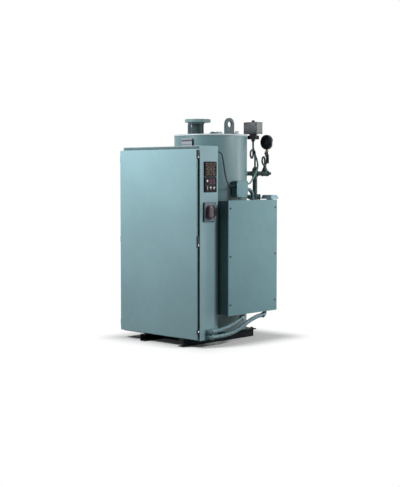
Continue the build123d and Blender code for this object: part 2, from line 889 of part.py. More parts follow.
conduit_start_y = -372
front_conduit_points = [
    (elbow_x, conduit_start_y, outlet_heights["front"]),
    (elbow_x, -318, outlet_heights["front"]),
    (367, -262, 117),
    (375, -200, 134),
    (381, -150, 152),
    (386, -120, 167),
    (386, -92, 179),
]
rear_conduit_points = [
    (elbow_x, conduit_start_y, outlet_heights["rear"]),
    (elbow_x, -306, outlet_heights["rear"]),
    (367, -240, 72),
    (374, -182, 80),
    (380, -130, 94),
    (384, -82, 116),
    (387, -40, 138),
    (389, 4, 156),
    (391, 56, 172),
    (391, 106, 183),
    (391, 141, 183),
]
probe_box_sides = (probe_y - probe_width / 2, probe_y + probe_width / 2)
cable_y = cabinet_back_y + gland_length
cable_z = cabinet_top - probe_cable_drop
entry_z = probe_bottom + probe_cable_entry
probe_cable_points = [
    (320, cable_y, cable_z),
    (320, -246, cable_z),
    (322, -227, cable_z - 19),
    (321, -217, cable_z - 46),
    (319, -207, cable_z - 80),
    (316, -195, entry_z + 119),
    (309, -174, entry_z + 67),
    (302, -147, entry_z + 23),
    (299, -116, entry_z),
    (299, probe_box_sides[0] - gland_length, entry_z),
]
stem_z = control_stem_top - gland_length
return_z = probe_bottom + control_cable_entry
control_gland_x = control_x + control_gland_reach * cos(radians(control_gland_angle))
control_gland_y = control_y + control_gland_reach * sin(radians(control_gland_angle))
control_cable_points = [
    (control_gland_x, control_gland_y, stem_z),
    (control_gland_x, control_gland_y, stem_z - 34),
    (163, 307, stem_z - 72),
    (179, 309, stem_z - 112),
    (200, 303, stem_z - 149),
    (218, 288, stem_z - 182),
    (232, 266, stem_z - 213),
    (243, 239, return_z + 88),
    (252, 209, return_z + 60),
    (262, 177, return_z + 35),
    (275, 146, return_z + 16),
    (288, 117, return_z + 4),
    (297, 91, return_z),
    (297, probe_box_sides[1] + gland_length, return_z),
]


def gland(start, end):
    return rod(start, end, gland_diameter)


def probe_cable_glands():
    first, last = probe_cable_points[0], probe_cable_points[-1]
    return [
        gland((first[0], cabinet_back_y, first[2]), first),
        gland(last, (last[0], probe_box_sides[0], last[2])),
    ]


def control_cable_glands():
    first, last = control_cable_points[0], control_cable_points[-1]
    return [
        gland((first[0], first[1], control_stem_top), first),
        gland(last, (last[0], probe_box_sides[1], last[2])),
    ]


def conduit_fittings_box():
    front, rear = front_conduit_points, rear_conduit_points
    return [
        box_elbow(run[-1], Vector(*run[-1]) - Vector(*run[-2])) for run in (front, rear)
    ]


# Every node by name, as one solid or a list of solids
rail_outer = rail_gap / 2 + rail_flange
display_bottom = display_centre_z - display_gap / 2 - display_height
nodes = {
    "base_channel_left": channel(-rail_outer, 1),
    "base_channel_right": channel(rail_outer, -1),
    "base_deck_plate": deck_plate(),
    "vessel_bottom_head": vessel_bottom_head(),
    "vessel_jacket": vessel_jacket(),
    "vessel_top_cap": vessel_top_cap(),
    "steam_nozzle": steam_nozzle(),
    "steam_flange": steam_flange(),
    "lifting_lug_left": lifting_lug(-lug_x),
    "lifting_lug_right": lifting_lug(lug_x),
    "inspection_cover": inspection_cover(),
    "vent_plug": vent_plug(),
    "data_plate": data_plate(),
    "cabinet_body": cabinet_body(),
    "cabinet_panel": cabinet_panel(),
    "cabinet_door": cabinet_door(),
    "hinge_body_leaves": [hinge_body_leaf(z) for z in fitting_heights],
    "hinge_door_leaves": [hinge_door_leaf(z) for z in fitting_heights],
    "door_clamps": [door_clamp(place) for place in range(len(fitting_heights))],
    "controller_lower": controller(display_bottom),
    "controller_upper": controller(display_bottom + display_height + display_gap),
    "disconnect_plate": disconnect_plate(),
    "disconnect_handle": disconnect_handle(),
    "terminal_box_neck": terminal_box_neck(),
    "terminal_box_body": terminal_box_body(),
    "terminal_box_cover": terminal_box_cover(),
    "vent_hood": vent_hood(),
    "probe_box_body": probe_box_body(),
    "probe_box_cover": probe_box_cover(),
    "manifold": manifold(),
    "water_column": water_column(),
    "column_link": column_link(),
    "water_column_foot": water_column_foot(),
    "gauge_siphon": gauge_siphon(),
    "gauge_cock_body": gauge_cock_body(),
    "gauge_cock_lever": gauge_cock_lever(),
    "gauge_case": gauge_case(),
    "gauge_dial": gauge_dial(),
    "control_siphon": control_siphon(),
    "pressure_control_base": pressure_control_base(),
    "pressure_control_case": pressure_control_case(),
    "pressure_control_knob": pressure_control_knob(),
    "conduit_fittings_cabinet": [cabinet_elbow(z) for z in outlet_heights.values()],
    "conduit_fittings_box": conduit_fittings_box(),
    "probe_elbow": probe_elbow(),
    "power_conduit_front": cord("front conduit", front_conduit_points, conduit_diameter),
    "power_conduit_rear": cord("rear conduit", rear_conduit_points, conduit_diameter),
    "probe_cable_glands": probe_cable_glands(),
    "probe_cable": cord("probe cable", probe_cable_points, cable_diameter),
    "control_cable_glands": control_cable_glands(),
    "control_cable": cord("control cable", control_cable_points, control_cable_diameter),
}
for place, centre_y in cross_centres.items():
    nodes["base_cross_" + place] = cross_channel(centre_y)

os.makedirs("parts", exist_ok=True)
for name, shape in nodes.items():
    solids = []
    for piece in shape if isinstance(shape, list) else [shape]:
        solids.extend(piece.solids())
    export_step(solids[0] if len(solids) == 1 else Compound(solids), f"parts/{name}.step")
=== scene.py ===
import bmesh
import bpy
import json
import numpy as np
from functools import partial
from math import cos, pi, radians, sin
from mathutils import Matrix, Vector


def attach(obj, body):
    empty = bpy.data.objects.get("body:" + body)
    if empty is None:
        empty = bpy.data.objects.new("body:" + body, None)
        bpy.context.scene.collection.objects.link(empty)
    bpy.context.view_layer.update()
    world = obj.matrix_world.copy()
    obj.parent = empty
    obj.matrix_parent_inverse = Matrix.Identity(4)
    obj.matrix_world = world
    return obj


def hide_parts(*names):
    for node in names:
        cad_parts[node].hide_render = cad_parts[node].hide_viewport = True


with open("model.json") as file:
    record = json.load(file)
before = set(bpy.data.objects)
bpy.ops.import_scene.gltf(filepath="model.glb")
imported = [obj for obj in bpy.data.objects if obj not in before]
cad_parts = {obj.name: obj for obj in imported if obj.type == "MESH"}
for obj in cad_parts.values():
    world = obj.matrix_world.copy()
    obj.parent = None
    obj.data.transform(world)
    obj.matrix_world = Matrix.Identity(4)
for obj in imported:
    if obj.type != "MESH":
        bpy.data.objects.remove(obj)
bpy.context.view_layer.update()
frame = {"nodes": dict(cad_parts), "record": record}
nodes = frame["nodes"]
material_slot = {part["node"]: part["material_slot"] for part in frame["record"]["subparts"]}
side_axis = np.array([1.0, 0.0, 0.0])
front_axis = np.array([0.0, -1.0, 0.0])
up_axis = np.array([0.0, 0.0, 1.0])
millimetre = 0.001


def paint(red, green, blue):
    """A colour written as screen values from 0 to 255, in the linear values that shaders use."""
    share = np.array([red, green, blue]) / 255
    linear = np.where(share <= 0.04045, share / 12.92, ((share + 0.055) / 1.055) ** 2.4)
    return (*[float(value) for value in linear], 1.0)


# Camera: placed and turned as the photograph was taken
camera_place = (5.4888, -5.9061, 1.2052)
camera_turn = radians(43.47)
camera_dip = radians(3.57)
lens_length = 79.36
sensor_width = 36
camera = bpy.data.objects.new("camera", bpy.data.cameras.new("camera"))
camera.location = camera_place
camera.rotation_euler = (pi / 2 - camera_dip, 0, camera_turn)
camera.data.lens = lens_length
camera.data.sensor_width = sensor_width
bpy.context.scene.collection.objects.link(camera)
bpy.context.scene.camera = camera
bpy.context.scene.view_settings.view_transform = "Standard"


# Shader nodes: the steps that groups and finishes are made of
def plug(tree, socket, value):
    """Another node's output is linked to the socket, and a plain value is set on it."""
    if isinstance(value, bpy.types.NodeSocket):
        tree.links.new(value, socket)
    else:
        socket.default_value = value


def add_node(tree, kind, settings=None, **inputs):
    """A shader node with its settings and inputs. An input's name has _ in place of a space."""
    node = tree.nodes.new("ShaderNode" + kind)
    for name, value in (settings or {}).items():
        setattr(node, name, value)
    for name, value in inputs.items():
        plug(tree, node.inputs[name.replace("_", " ")], value)
    return node


def calculate(tree, kind, operation, *values, **settings):
    """The result of a Math or VectorMath node whose inputs are the values in turn."""
    node = add_node(tree, kind, {"operation": operation, **settings})
    for socket, value in zip(node.inputs, values):
        plug(tree, socket, value)
    return node.outputs["Value" if operation == "LENGTH" else 0]


def times(tree, first, second):
    """The product of two values."""
    return calculate(tree, "Math", "MULTIPLY", first, second)


def noise(tree, place, scale, detail):
    """Cloudy values from 0 to 1: a larger scale gives smaller clouds."""
    return add_node(tree, "TexNoise", Vector=place, Scale=scale, Detail=detail).outputs["Fac"]


def ramp(tree, value, low, high, out_low=0.0, out_high=1.0):
    """A smooth step from one level to another while the value goes from low to high."""
    return add_node(tree, "MapRange", {"interpolation_type": "SMOOTHSTEP"}, Value=value, From_Min=low,
                    From_Max=high, To_Min=out_low, To_Max=out_high).outputs[0]


def mix_colour(tree, share, first, second):
    """A colour between two. The Mix node has its share at input 0 and its colours at 6 and 7."""
    node = add_node(tree, "Mix", {"data_type": "RGBA"})
    for place, value in ((0, share), (6, first), (7, second)):
        plug(tree, node.inputs[place], value)
    return node.outputs[2]


def open_group(name, inputs):
    """A new node group and its input sockets. Each input's kind follows from its first value."""
    group = bpy.data.node_groups.new(name, "ShaderNodeTree")
    for title, value in inputs.items():
        kind = {3: "Vector", 4: "Color"}[len(value)] if isinstance(value, tuple) else "Float"
        socket = group.interface.new_socket(title, in_out="INPUT", socket_type="NodeSocket" + kind)
        socket.default_value = value
    return group, group.nodes.new("NodeGroupInput").outputs


def close_group(group, colour, rough, height):
    """The group gives a colour, a roughness and a height for the bump."""
    results = {"Color": ("Color", colour), "Roughness": ("Float", rough), "Height": ("Float", height)}
    for title, (kind, _) in results.items():
        group.interface.new_socket(title, in_out="OUTPUT", socket_type="NodeSocket" + kind)
    leave = group.nodes.new("NodeGroupOutput")
    for title, (_, value) in results.items():
        group.links.new(value, leave.inputs[title])
    return group


# Node groups for effects that several finishes share
any_colour = (0.5, 0.5, 0.5, 1)
shadow_tone = (0.03, 0.05, 0.055, 1)
pale_dust = (0.52, 0.53, 0.50, 1)
# Painted shade: a dark colour for the cabinet's faces that look up, darkening its top
painted_top_shade = (0.13, 0.175, 0.175, 1)


def make_film_group():
    """A paint film: slow shifts of tone, a colour laid on faces that look up, which is faint dust on
    most films and painted shade that darkens the cabinet's top, and a fine orange peel.
    """
    group, given = open_group("paint_film", {"Paint": any_colour, "Tone": 0.1, "Dust And Shade": 0.1,
                                             "Dust And Shade Colour": pale_dust, "Gloss": 0.35})
    place = add_node(group, "TexCoord").outputs["Object"]
    clouds = noise(group, place, 2.3, 4.0)
    patches = noise(group, place, 19.0, 3.0)
    peel = noise(group, place, 260.0, 1.0)
    both = calculate(group, "Math", "MULTIPLY_ADD", patches, 0.35, clouds)
    amount = times(group, ramp(group, both, 0.45, 0.9), given["Tone"])
    toned = mix_colour(group, amount, given["Paint"], shadow_tone)
    normal = add_node(group, "NewGeometry").outputs["Normal"]
    up = add_node(group, "SeparateXYZ", Vector=normal).outputs["Z"]
    dust_and_shade = times(group, ramp(group, up, 0.6, 1.0), given["Dust And Shade"])
    dusted_and_shaded = mix_colour(group, dust_and_shade, toned, given["Dust And Shade Colour"])
    wear = calculate(group, "Math", "MULTIPLY_ADD", patches, 0.18, given["Gloss"])
    return close_group(group, dusted_and_shaded, wear, peel)


def make_grain_group():
    """A cast or moulded skin: close pits, grime in the low places and a broken sheen."""
    group, given = open_group("cast_grain", {"Base": any_colour, "Grime": any_colour, "Amount": 0.4,
                                             "Grain Scale": 300.0, "Rough": 0.5})
    place = add_node(group, "TexCoord").outputs["Object"]
    pits = noise(group, place, given["Grain Scale"], 3.0)
    mask = ramp(group, noise(group, place, 38.0, 5.0), 0.42, 0.68)
    shade = mix_colour(group, times(group, mask, given["Amount"]), given["Base"], given["Grime"])
    rough = calculate(group, "Math", "MULTIPLY_ADD", mask, 0.16, given["Rough"])
    return close_group(group, shade, rough, pits)


def make_brush_group():
    """Brushed sheet: fine lines drawn along one direction, with broad soft bands across them."""
    group, given = open_group("brushed_sheet", {
        "Light": any_colour, "Dark": any_colour, "Stretch": (4.0, 4.0, 600.0),
        "Bands": (1.0, 1.0, 60.0), "Band Amount": 0.6, "Rough": 0.3})
    place = add_node(group, "TexCoord").outputs["Object"]
    lines = noise(group, calculate(group, "VectorMath", "MULTIPLY", place, given["Stretch"]), 1.0, 3.0)
    bands = noise(group, calculate(group, "VectorMath", "MULTIPLY", place, given["Bands"]), 1.0, 1.0)
    share = times(group, ramp(group, bands, 0.42, 0.6), given["Band Amount"])
    fine = ramp(group, lines, 0.3, 0.7, 0.0, 0.3)
    dark = calculate(group, "Math", "ADD", share, fine, use_clamp=True)
    shade = mix_colour(group, dark, given["Light"], given["Dark"])
    rough = calculate(group, "Math", "MULTIPLY_ADD", lines, 0.15, given["Rough"])
    return close_group(group, shade, rough, lines)


def new_finish(name, group, values, bump, distance, metallic, shine):
    """A finish whose colour, roughness and bump come from one of the shared groups. The values go
    to the group's inputs in turn."""
    material = bpy.data.materials.new(name)
    material.use_nodes = True
    tree = material.node_tree
    shader = tree.nodes["Principled BSDF"]
    shader.inputs["Metallic"].default_value = metallic
    shader.inputs["Specular IOR Level"].default_value = shine
    effect = tree.nodes.new("ShaderNodeGroup")
    effect.node_tree = group
    for socket, value in zip(effect.inputs, values):
        socket.default_value = value
    relief = add_node(tree, "Bump", Strength=bump, Distance=distance, Height=effect.outputs["Height"])
    tree.links.new(effect.outputs["Color"], shader.inputs["Base Color"])
    tree.links.new(effect.outputs["Roughness"], shader.inputs["Roughness"])
    tree.links.new(relief.outputs["Normal"], shader.inputs["Normal"])
    return material


# Paint films: colour, tone, dust and its colour, gloss and shine. On the cabinet these two are painted
# shade that darkens its faces that look up
film_rows = {
    "machine_enamel": ((150, 187, 195), 0.1, 0.1, pale_dust, 0.3, 0.3),
    # painted shade on the cabinet and its door: their faces that look up are darkened
    "cabinet_enamel": ((150, 187, 195), 0.1, 0.85, painted_top_shade, 0.3, 0.3),
    "skid_enamel": ((16, 22, 26), 0.3, 0.04, pale_dust, 0.5, 0.1),
    "panel_enamel": ((226, 228, 222), 0.05, 0.0, pale_dust, 0.35, 0.3),
    "black_enamel": ((12, 13, 15), 0.2, 0.03, pale_dust, 0.22, 0.25),
    "grey_enamel": ((134, 137, 139), 0.25, 0.06, pale_dust, 0.32, 0.3),
    "jacket_enamel": ((87, 125, 130), 0.14, 0.1, pale_dust, 0.3, 0.9),
    # painted highlight: the cap's enamel is paler than the machine enamel, to brighten its rim
    "cap_enamel": ((186, 202, 208), 0.1, 0.1, pale_dust, 0.26, 0.5),
    "box_enamel": ((121, 162, 169), 0.12, 0.1, pale_dust, 0.36, 0.22),
    # painted shade: a darker copy of the box enamel for the boxes' bodies, whose sides face the cabinet
    # and lie in its shade
    "body_enamel": ((94, 124, 128), 0.16, 0.1, pale_dust, 0.3, 0.15),
    "pipe_enamel": ((34, 52, 52), 0.3, 0.1, pale_dust, 0.34, 0.2),
    "flange_enamel": ((126, 152, 154), 0.25, 0.1, pale_dust, 0.32, 0.3),
    "lug_enamel": ((62, 82, 90), 0.25, 0.1, pale_dust, 0.3, 0.3),
    # the door clamps are near black: partly their own dark paint, partly painted shade of the seam they
    # sit in
    "clamp_enamel": ((30, 46, 48), 0.2, 0.1, pale_dust, 0.3, 0.3),
}

# Cast and moulded skins: colour, grime and its amount, pit scale, roughness, bump, metal and shine
grain_rows = {
    "painted_iron": ((58, 84, 82), (14, 22, 22), 0.6, 300, 0.45, 0.3, 0, 0.3),
    "zinc_plate": ((170, 172, 174), (100, 102, 102), 0.4, 500, 0.32, 0.1, 0.8, 0.3),
    "black_plastic": ((14, 16, 19), (6, 7, 9), 0.3, 900, 0.34, 0.12, 0, 0.12),
    "switch_plastic": ((132, 146, 156), (92, 102, 112), 0.4, 900, 0.38, 0.12, 0, 0.2),
    "dial_card": ((236, 236, 230), (214, 212, 202), 0.3, 700, 0.5, 0.05, 0, 0.3),
    "conduit_jacket": ((128, 162, 168), (92, 122, 128), 0.4, 420, 0.36, 0.15, 0, 0.4),
    "cable_jacket": ((36, 56, 54), (20, 30, 28), 0.4, 500, 0.38, 0.15, 0, 0.3),
    "grip_plastic": ((98, 86, 96), (82, 62, 74), 0.5, 900, 0.42, 0.12, 0, 0.3),
    "cover_dark": ((78, 84, 88), (44, 48, 52), 0.5, 260, 0.4, 0.25, 0, 0.3),
    "elbow_enamel": ((84, 112, 118), (40, 58, 62), 0.5, 300, 0.3, 0.2, 0, 0.5),
    "green_cable": ((92, 128, 116), (50, 74, 66), 0.4, 500, 0.28, 0.1, 0, 0.5),
    "cock_brass": ((138, 132, 112), (56, 56, 46), 0.6, 400, 0.36, 0.15, 0.7, 0.3),
    "dark_steel": ((56, 64, 64), (20, 24, 24), 0.5, 400, 0.4, 0.15, 0.3, 0.3),
    "bright_ring": ((214, 216, 220), (160, 162, 166), 0.3, 500, 0.2, 0.03, 1, 0.3),
    # dark teal rubber: real on the gaskets, and on the door seal also painted shade of the recess round
    # the door
    "seal_rubber": ((12, 26, 26), (6, 10, 10), 0.4, 600, 0.6, 0.2, 0, 0.1),
    # painted shade: the grey of the strip laid over the body's lip above the door
    "drip_rubber": ((98, 118, 121), (76, 94, 96), 0.4, 600, 0.55, 0.15, 0, 0.2),
    "mark_white": ((226, 226, 224), (180, 180, 178), 0.3, 800, 0.5, 0.02, 0, 0.3),
    "mark_black": ((24, 24, 26), (12, 12, 12), 0.3, 800, 0.5, 0.02, 0, 0.3),
    "wheel_red": ((128, 40, 34), (70, 22, 18), 0.4, 500, 0.4, 0.1, 0, 0.3),
    "duct_grey": ((150, 152, 152), (124, 126, 126), 0.3, 900, 0.45, 0.08, 0, 0.3),
    "fuse_pale": ((214, 208, 190), (184, 176, 156), 0.4, 300, 0.35, 0.08, 0, 0.3),
    "wire_red": ((132, 44, 40), (96, 30, 28), 0.3, 600, 0.4, 0.05, 0, 0.3),
    "amber_light": ((96, 72, 56), (20, 12, 10), 0.2, 700, 0.3, 0.02, 0, 0.3),
    "red_light": ((84, 34, 62), (20, 12, 10), 0.2, 700, 0.3, 0.02, 0, 0.3),
    "pale_light": ((206, 208, 212), (20, 12, 10), 0.2, 700, 0.3, 0.02, 0, 0.3),
}

# Depths of the reliefs are in metres
film_bump, film_depth = 0.12, 0.0006
brush_bump, brush_depth = 0.08, 0.0003
grain_depth = 0.0008
film_group = make_film_group()
grain_group = make_grain_group()
finishes = {}
for name, (colour, tone, dust_and_shade, dust_and_shade_colour, gloss, shine) in film_rows.items():
    values = (paint(*colour), tone, dust_and_shade, dust_and_shade_colour, gloss)
    finishes[name] = new_finish(name, film_group, values, film_bump, film_depth, 0.0, shine)
for name, (colour, grime, amount, pit_scale, rough, bump, metal, shine) in grain_rows.items():
    values = (paint(*colour), paint(*grime), amount, pit_scale, rough)
    finishes[name] = new_finish(name, grain_group, values, bump, grain_depth, metal, shine)
brush_values = (paint(156, 162, 170), paint(80, 86, 92), (30.0, 30.0, 900.0), (0.5, 0.5, 75.0),
                0.9, 0.36)
finishes["brushed_plate"] = new_finish("brushed_plate", make_brush_group(), brush_values,
                                       brush_bump, brush_depth, metallic=0.35, shine=0.3)

# Lights behind tinted windows: each one shines in its own colour
for name, strength in (("amber_light", 0.45), ("red_light", 0.5), ("pale_light", 0.5)):
    shader = finishes[name].node_tree.nodes["Principled BSDF"]
    shader.inputs["Emission Color"].default_value = paint(*grain_rows[name][0])
    shader.inputs["Emission Strength"].default_value = strength

# Clear glass over the gauge's dial
glass_values = ((1, 1, 1, 1), (0.9, 0.92, 0.92, 1), 0.2, 300.0, 0.02)
finishes["dial_glass"] = new_finish("dial_glass", grain_group, glass_values, bump=0.0,
                                    distance=grain_depth, metallic=0.0, shine=0.3)
glass_inputs = finishes["dial_glass"].node_tree.nodes["Principled BSDF"].inputs
glass_inputs["Transmission Weight"].default_value = 1.0
glass_inputs["IOR"].default_value = 1.45

# The finish of each of the record's material slots, and of the nodes that differ from their slot
slot_finish = {
    "grey_green_paint": "machine_enamel", "base_paint": "skid_enamel", "iron_fittings": "painted_iron",
    "plated_steel": "zinc_plate", "plate_metal": "brushed_plate", "panel_paint": "panel_enamel",
    "black_plastic": "black_plastic", "switch_grey": "switch_plastic", "black_enamel": "black_enamel",
    "dark_grey_enamel": "grey_enamel", "dial_face": "dial_card", "conduit_jacket": "conduit_jacket",
    "cable_jacket": "cable_jacket",
}
own_finish = {
    # the cabinet and its door take the enamel with the painted shade on their tops
    "cabinet_body": "cabinet_enamel", "cabinet_door": "cabinet_enamel",
    # the top cap takes the paler enamel, a painted highlight on its rim
    "vessel_jacket": "jacket_enamel", "vessel_top_cap": "cap_enamel", "steam_nozzle": "pipe_enamel",
    "steam_flange": "flange_enamel", "lifting_lug_left": "lug_enamel",
    # the door clamps take the near-black enamel, partly painted shade of the door's seam
    "lifting_lug_right": "lug_enamel", "door_clamps": "clamp_enamel",
    # the boxes' bodies take the darker copy of the box enamel: painted shade
    "terminal_box_cover": "box_enamel", "terminal_box_body": "body_enamel",
    # the disconnect handle is black rather than its slot's grey: partly its own dark colour, partly
    # painted shade of the knob's sides
    "disconnect_handle": "black_plastic", "pressure_control_knob": "cover_dark",
    "probe_elbow": "elbow_enamel", "probe_box_cover": "box_enamel", "probe_box_body": "body_enamel",
    "gauge_cock_body": "cock_brass", "gauge_cock_lever": "dark_steel",
    "conduit_fittings_cabinet": "conduit_jacket", "conduit_fittings_box": "conduit_jacket",
}
for name, node in nodes.items():
    node.data.materials.clear()
    node.data.materials.append(finishes[own_finish.get(name) or slot_finish[material_slot[name]]])


# Mesh helpers: every new surface is worked out as whole arrays, and a shape is its points and faces
def skin(rows, closed=False):
    """Rings of points joined by quads, one ring a row: a quad's corners are (i, j), (i, j + 1),
    (i + 1, j + 1) and (i + 1, j). The last ring joins the first where the rows are closed, and
    each end has a flat face where they aren't."""
    rows = np.asarray(rows, float)
    count, sides = rows.shape[:2]
    i, j = np.meshgrid(np.arange(count if closed else count - 1), np.arange(sides), indexing="ij")
    after_i, after_j = (i + 1) % count, (j + 1) % sides
    quads = np.stack([i * sides + j, i * sides + after_j, after_i * sides + after_j,
                      after_i * sides + j], axis=-1)
    faces = quads.reshape(-1, 4).tolist()
    if not closed:
        faces += [list(range(sides))[::-1], list(range((count - 1) * sides, count * sides))]
    return rows.reshape(-1, 3), faces


def make_object(name, shape, finish, body, sharp):
    """A shape in metres as a piece that rides on a body. Edges that turn by more than the sharp
    angle, in degrees, stay sharp and the rest are shaded smooth."""
    points, faces = shape
    mesh = bpy.data.meshes.new(name)
    mesh.from_pydata(points.tolist(), [], faces)
    mesh.validate()
    mesh.shade_smooth()
    mesh.set_sharp_from_angle(angle=radians(sharp))
    mesh.materials.append(finishes[finish])
    piece = bpy.data.objects.new(name, mesh)
    bpy.context.scene.collection.objects.link(piece)
    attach(piece, body)
    return piece


def join(shapes):
    """Several shapes as one list of points and one of faces."""
    points = []
    faces = []
    start = 0
    for some_points, some_faces in shapes:
        points.append(some_points)
        faces += [[corner + start for corner in face] for face in some_faces]
        start += len(some_points)
    return np.concatenate(points), faces


def unit(direction):
    """A direction as an array of length 1."""
    direction = np.asarray(direction, float)
    return direction / np.linalg.norm(direction)


def stand(shape, place, out, up=None):
    """A shape drawn as right, up and out, set at a place: right is up crossed with out. Up is +Z
    where none is given, and +Y for a shape that faces straight up or down."""
    points, faces = shape
    out = unit(out)
    if up is None:
        up = (0, 1, 0) if abs(out[2]) > 0.99 else (0, 0, 1)
    up = unit(np.asarray(up, float) - np.dot(up, out) * out)
    right = np.cross(up, out)
    return np.asarray(place) + points @ np.array([right, up, out]), faces


def moved(shape, right=0.0, up=0.0, out=0.0):
    """A shape shifted by three distances."""
    points, faces = shape
    return points + np.array([right, up, out]), faces


def upright(shape, place, height):
    """A shape that faces up, over a place and at a height above the floor."""
    return moved(shape, place[0], place[1], height)


def spread(shape, rights, ups, out=0.0):
    """Copies of a shape wherever a distance to the right meets one upwards."""
    return [moved(shape, right, up, out) for right in rights for up in ups]


def six_round(shape, radius, first):
    """Six copies of a shape spaced evenly on a circle, the first at an angle in degrees."""
    turns = [radians(first + 60 * step) for step in range(6)]
    return [moved(shape, radius * cos(turn), radius * sin(turn)) for turn in turns]


def full_turn(sides):
    """Angles spaced evenly round a circle."""
    return np.linspace(0, 2 * pi, sides, endpoint=False)


def lathe(profile, sides=32, squeeze=None, closed=False):
    """A profile of radius and height turned about the out axis: at a turn t a row's point is its
    radius times cos t and sin t, at its height. squeeze gives, for each row, the most that the
    six-sided outline may reach, and the radius is the smaller of the two."""
    profile = np.asarray(profile, float)
    turn = full_turn(sides)
    radius = np.repeat(profile[:, :1], sides, axis=1)
    if squeeze is not None:
        flat = np.asarray(squeeze, float)[:, None]
        hexagon = flat / np.cos((turn + pi / 6) % (pi / 3) - pi / 6)[None, :]
        radius = np.where(flat > 0, np.minimum(radius, hexagon), radius)
    height = np.repeat(profile[:, 1:2], sides, axis=1)
    return skin(np.stack([radius * np.cos(turn), radius * np.sin(turn), height], axis=-1), closed)


def ring(profile, sides=64):
    """A closed profile of radius and height turned about the out axis, with no ends. The profile
    runs round its own inside anticlockwise, with radius to the right and height upwards."""
    return lathe(profile, sides, closed=True)


def six_sided(across, height, sides=48):
    """A hexagonal nut or head: a prism whose corners are cut by a shallow cone at both ends."""
    flat = across / 2
    corner = flat / cos(pi / 6)
    cut = 0.5 * (corner - flat)
    rows = [(flat * 0.99, 0), ((corner + flat) / 2, cut / 2), (corner, cut), (corner, height - cut),
            ((corner + flat) / 2, height - cut / 2), (flat * 0.99, height)]
    return lathe(rows, sides, [flat] * len(rows))


def hex_screw(across, height, washer):
    """A hexagon head on a round washer."""
    thick = across * 0.13
    disc = lathe([(washer * 0.97, 0), (washer, thick * 0.3), (washer, thick * 0.8),
                  (washer * 0.96, thick)])
    return join([disc, moved(six_sided(across, height), 0, 0, thick * 0.9)])


def button_screw(radius, height):
    """A low domed head with a six-sided socket sunk in its crown."""
    socket = radius * 0.42
    rows = [(radius * 0.98, 0), (radius, height * 0.15), (radius * 0.93, height * 0.55),
            (radius * 0.75, height * 0.85), (radius * 0.52, height), (socket * 1.2, height),
            (socket * 1.15, height * 0.45), (socket * 0.7, height * 0.42)]
    return lathe(rows, 24, [0, 0, 0, 0, 0, socket, socket, socket * 0.7])


def dome(radius, height):
    """A low rivet or pin head: a quarter of an ellipse turned about its axis."""
    turn = np.linspace(0, pi / 2, 5)
    reach = np.maximum(radius * np.cos(turn), radius * 0.08)
    return lathe(np.stack([reach, height * np.sin(turn)], axis=1), 20)


def threads(radius, length, pitch=1.8, depth=0.7):
    """A threaded end: roots and crests in turn along a short tube."""
    count = int(length / pitch) * 2 + 1
    crest = radius + depth * (np.arange(count) % 2)
    return lathe(np.stack([crest, np.linspace(0, length, count)], axis=1), 28)


def gland_nut(across, cable, height=7.5, reach=14):
    """A cable gland: a hexagon body, a narrower collar and a cap that tapers down to the cable."""
    collar, taper = across * 0.46, across * 0.42
    cap = lathe([(collar, height), (collar, height + 0.6), (taper, height + 1.4), (taper, reach - 2),
                 (cable * 0.78, reach + 1.5), (cable * 0.52, reach + 4)], 28)
    return join([six_sided(across, height), cap])


def union(pipe_radius, across, length):
    """A pipe union: two collars with a wide hexagon nut between them."""
    collar = pipe_radius + 3.4
    low = lathe([(pipe_radius + 0.2, 0), (collar - 0.8, 0.2), (collar, 1.2), (collar, length * 0.3)])
    nut = moved(six_sided(across, length * 0.44), 0, 0, length * 0.26)
    high = lathe([(collar, length * 0.66), (collar, length - 1.2), (collar - 0.8, length - 0.2),
                  (pipe_radius + 0.2, length)])
    return join([low, nut, high])


def at_level(outline, level):
    """A flat outline's points, all at one height."""
    return np.c_[outline, np.full(len(outline), level)]


def slab(outline, low, high):
    """A flat outline, listed anticlockwise, drawn out from the low height to the high one."""
    return skin([at_level(outline, low), at_level(outline, high)])


def round_outline(width, height, radius, steps=5):
    """Points of a rectangle with rounded corners, anticlockwise from the lower right."""
    turn = np.linspace(0, pi / 2, steps)
    corners = []
    for quarter, (x, y) in enumerate(((1, -1), (1, 1), (-1, 1), (-1, -1))):
        angle = turn + (quarter - 1) * pi / 2
        corners.append(np.stack([x * (width / 2 - radius) + radius * np.cos(angle),
                                 y * (height / 2 - radius) + radius * np.sin(angle)], axis=1))
    return np.concatenate(corners)


def rim(width, height, radius, profile, closed=True):
    """A profile of outward reach and height carried round a rounded rectangle. A closed profile
    runs anticlockwise, with reach to the right and height upwards, and an open one gets flat
    faces at its two ends."""
    return skin([at_level(round_outline(width + 2 * reach, height + 2 * reach,
                                        max(radius + reach, 1e-4)), level)
                 for reach, level in profile], closed)


def soft_block(width, height, low, high, radius, edge):
    """A block with rounded corners whose front edge is rounded too."""
    profile = [(0, low), (0, high - edge), (-0.3 * edge, high - 0.3 * edge), (-edge, high)]
    return rim(width, height, radius, profile, closed=False)


def tube(line, radii, sides, closed=False):
    """A round wall carried along a line: each ring stands square to the line there."""
    line = np.asarray(line, float)
    radii = np.broadcast_to(radii, len(line))
    if closed:
        tangent = np.roll(line, -1, axis=0) - np.roll(line, 1, axis=0)
    else:
        tangent = np.gradient(line, axis=0)
    tangent /= np.linalg.norm(tangent, axis=1, keepdims=True)
    side = np.cross(tangent, (0.31, 0.17, 0.94))
    side /= np.linalg.norm(side, axis=1, keepdims=True)
    over = np.cross(tangent, side)
    turn = full_turn(sides)
    spokes = np.cos(turn)[None, :, None] * side[:, None] + np.sin(turn)[None, :, None] * over[:, None]
    return skin(line[:, None] + radii[:, None, None] * spokes, closed)


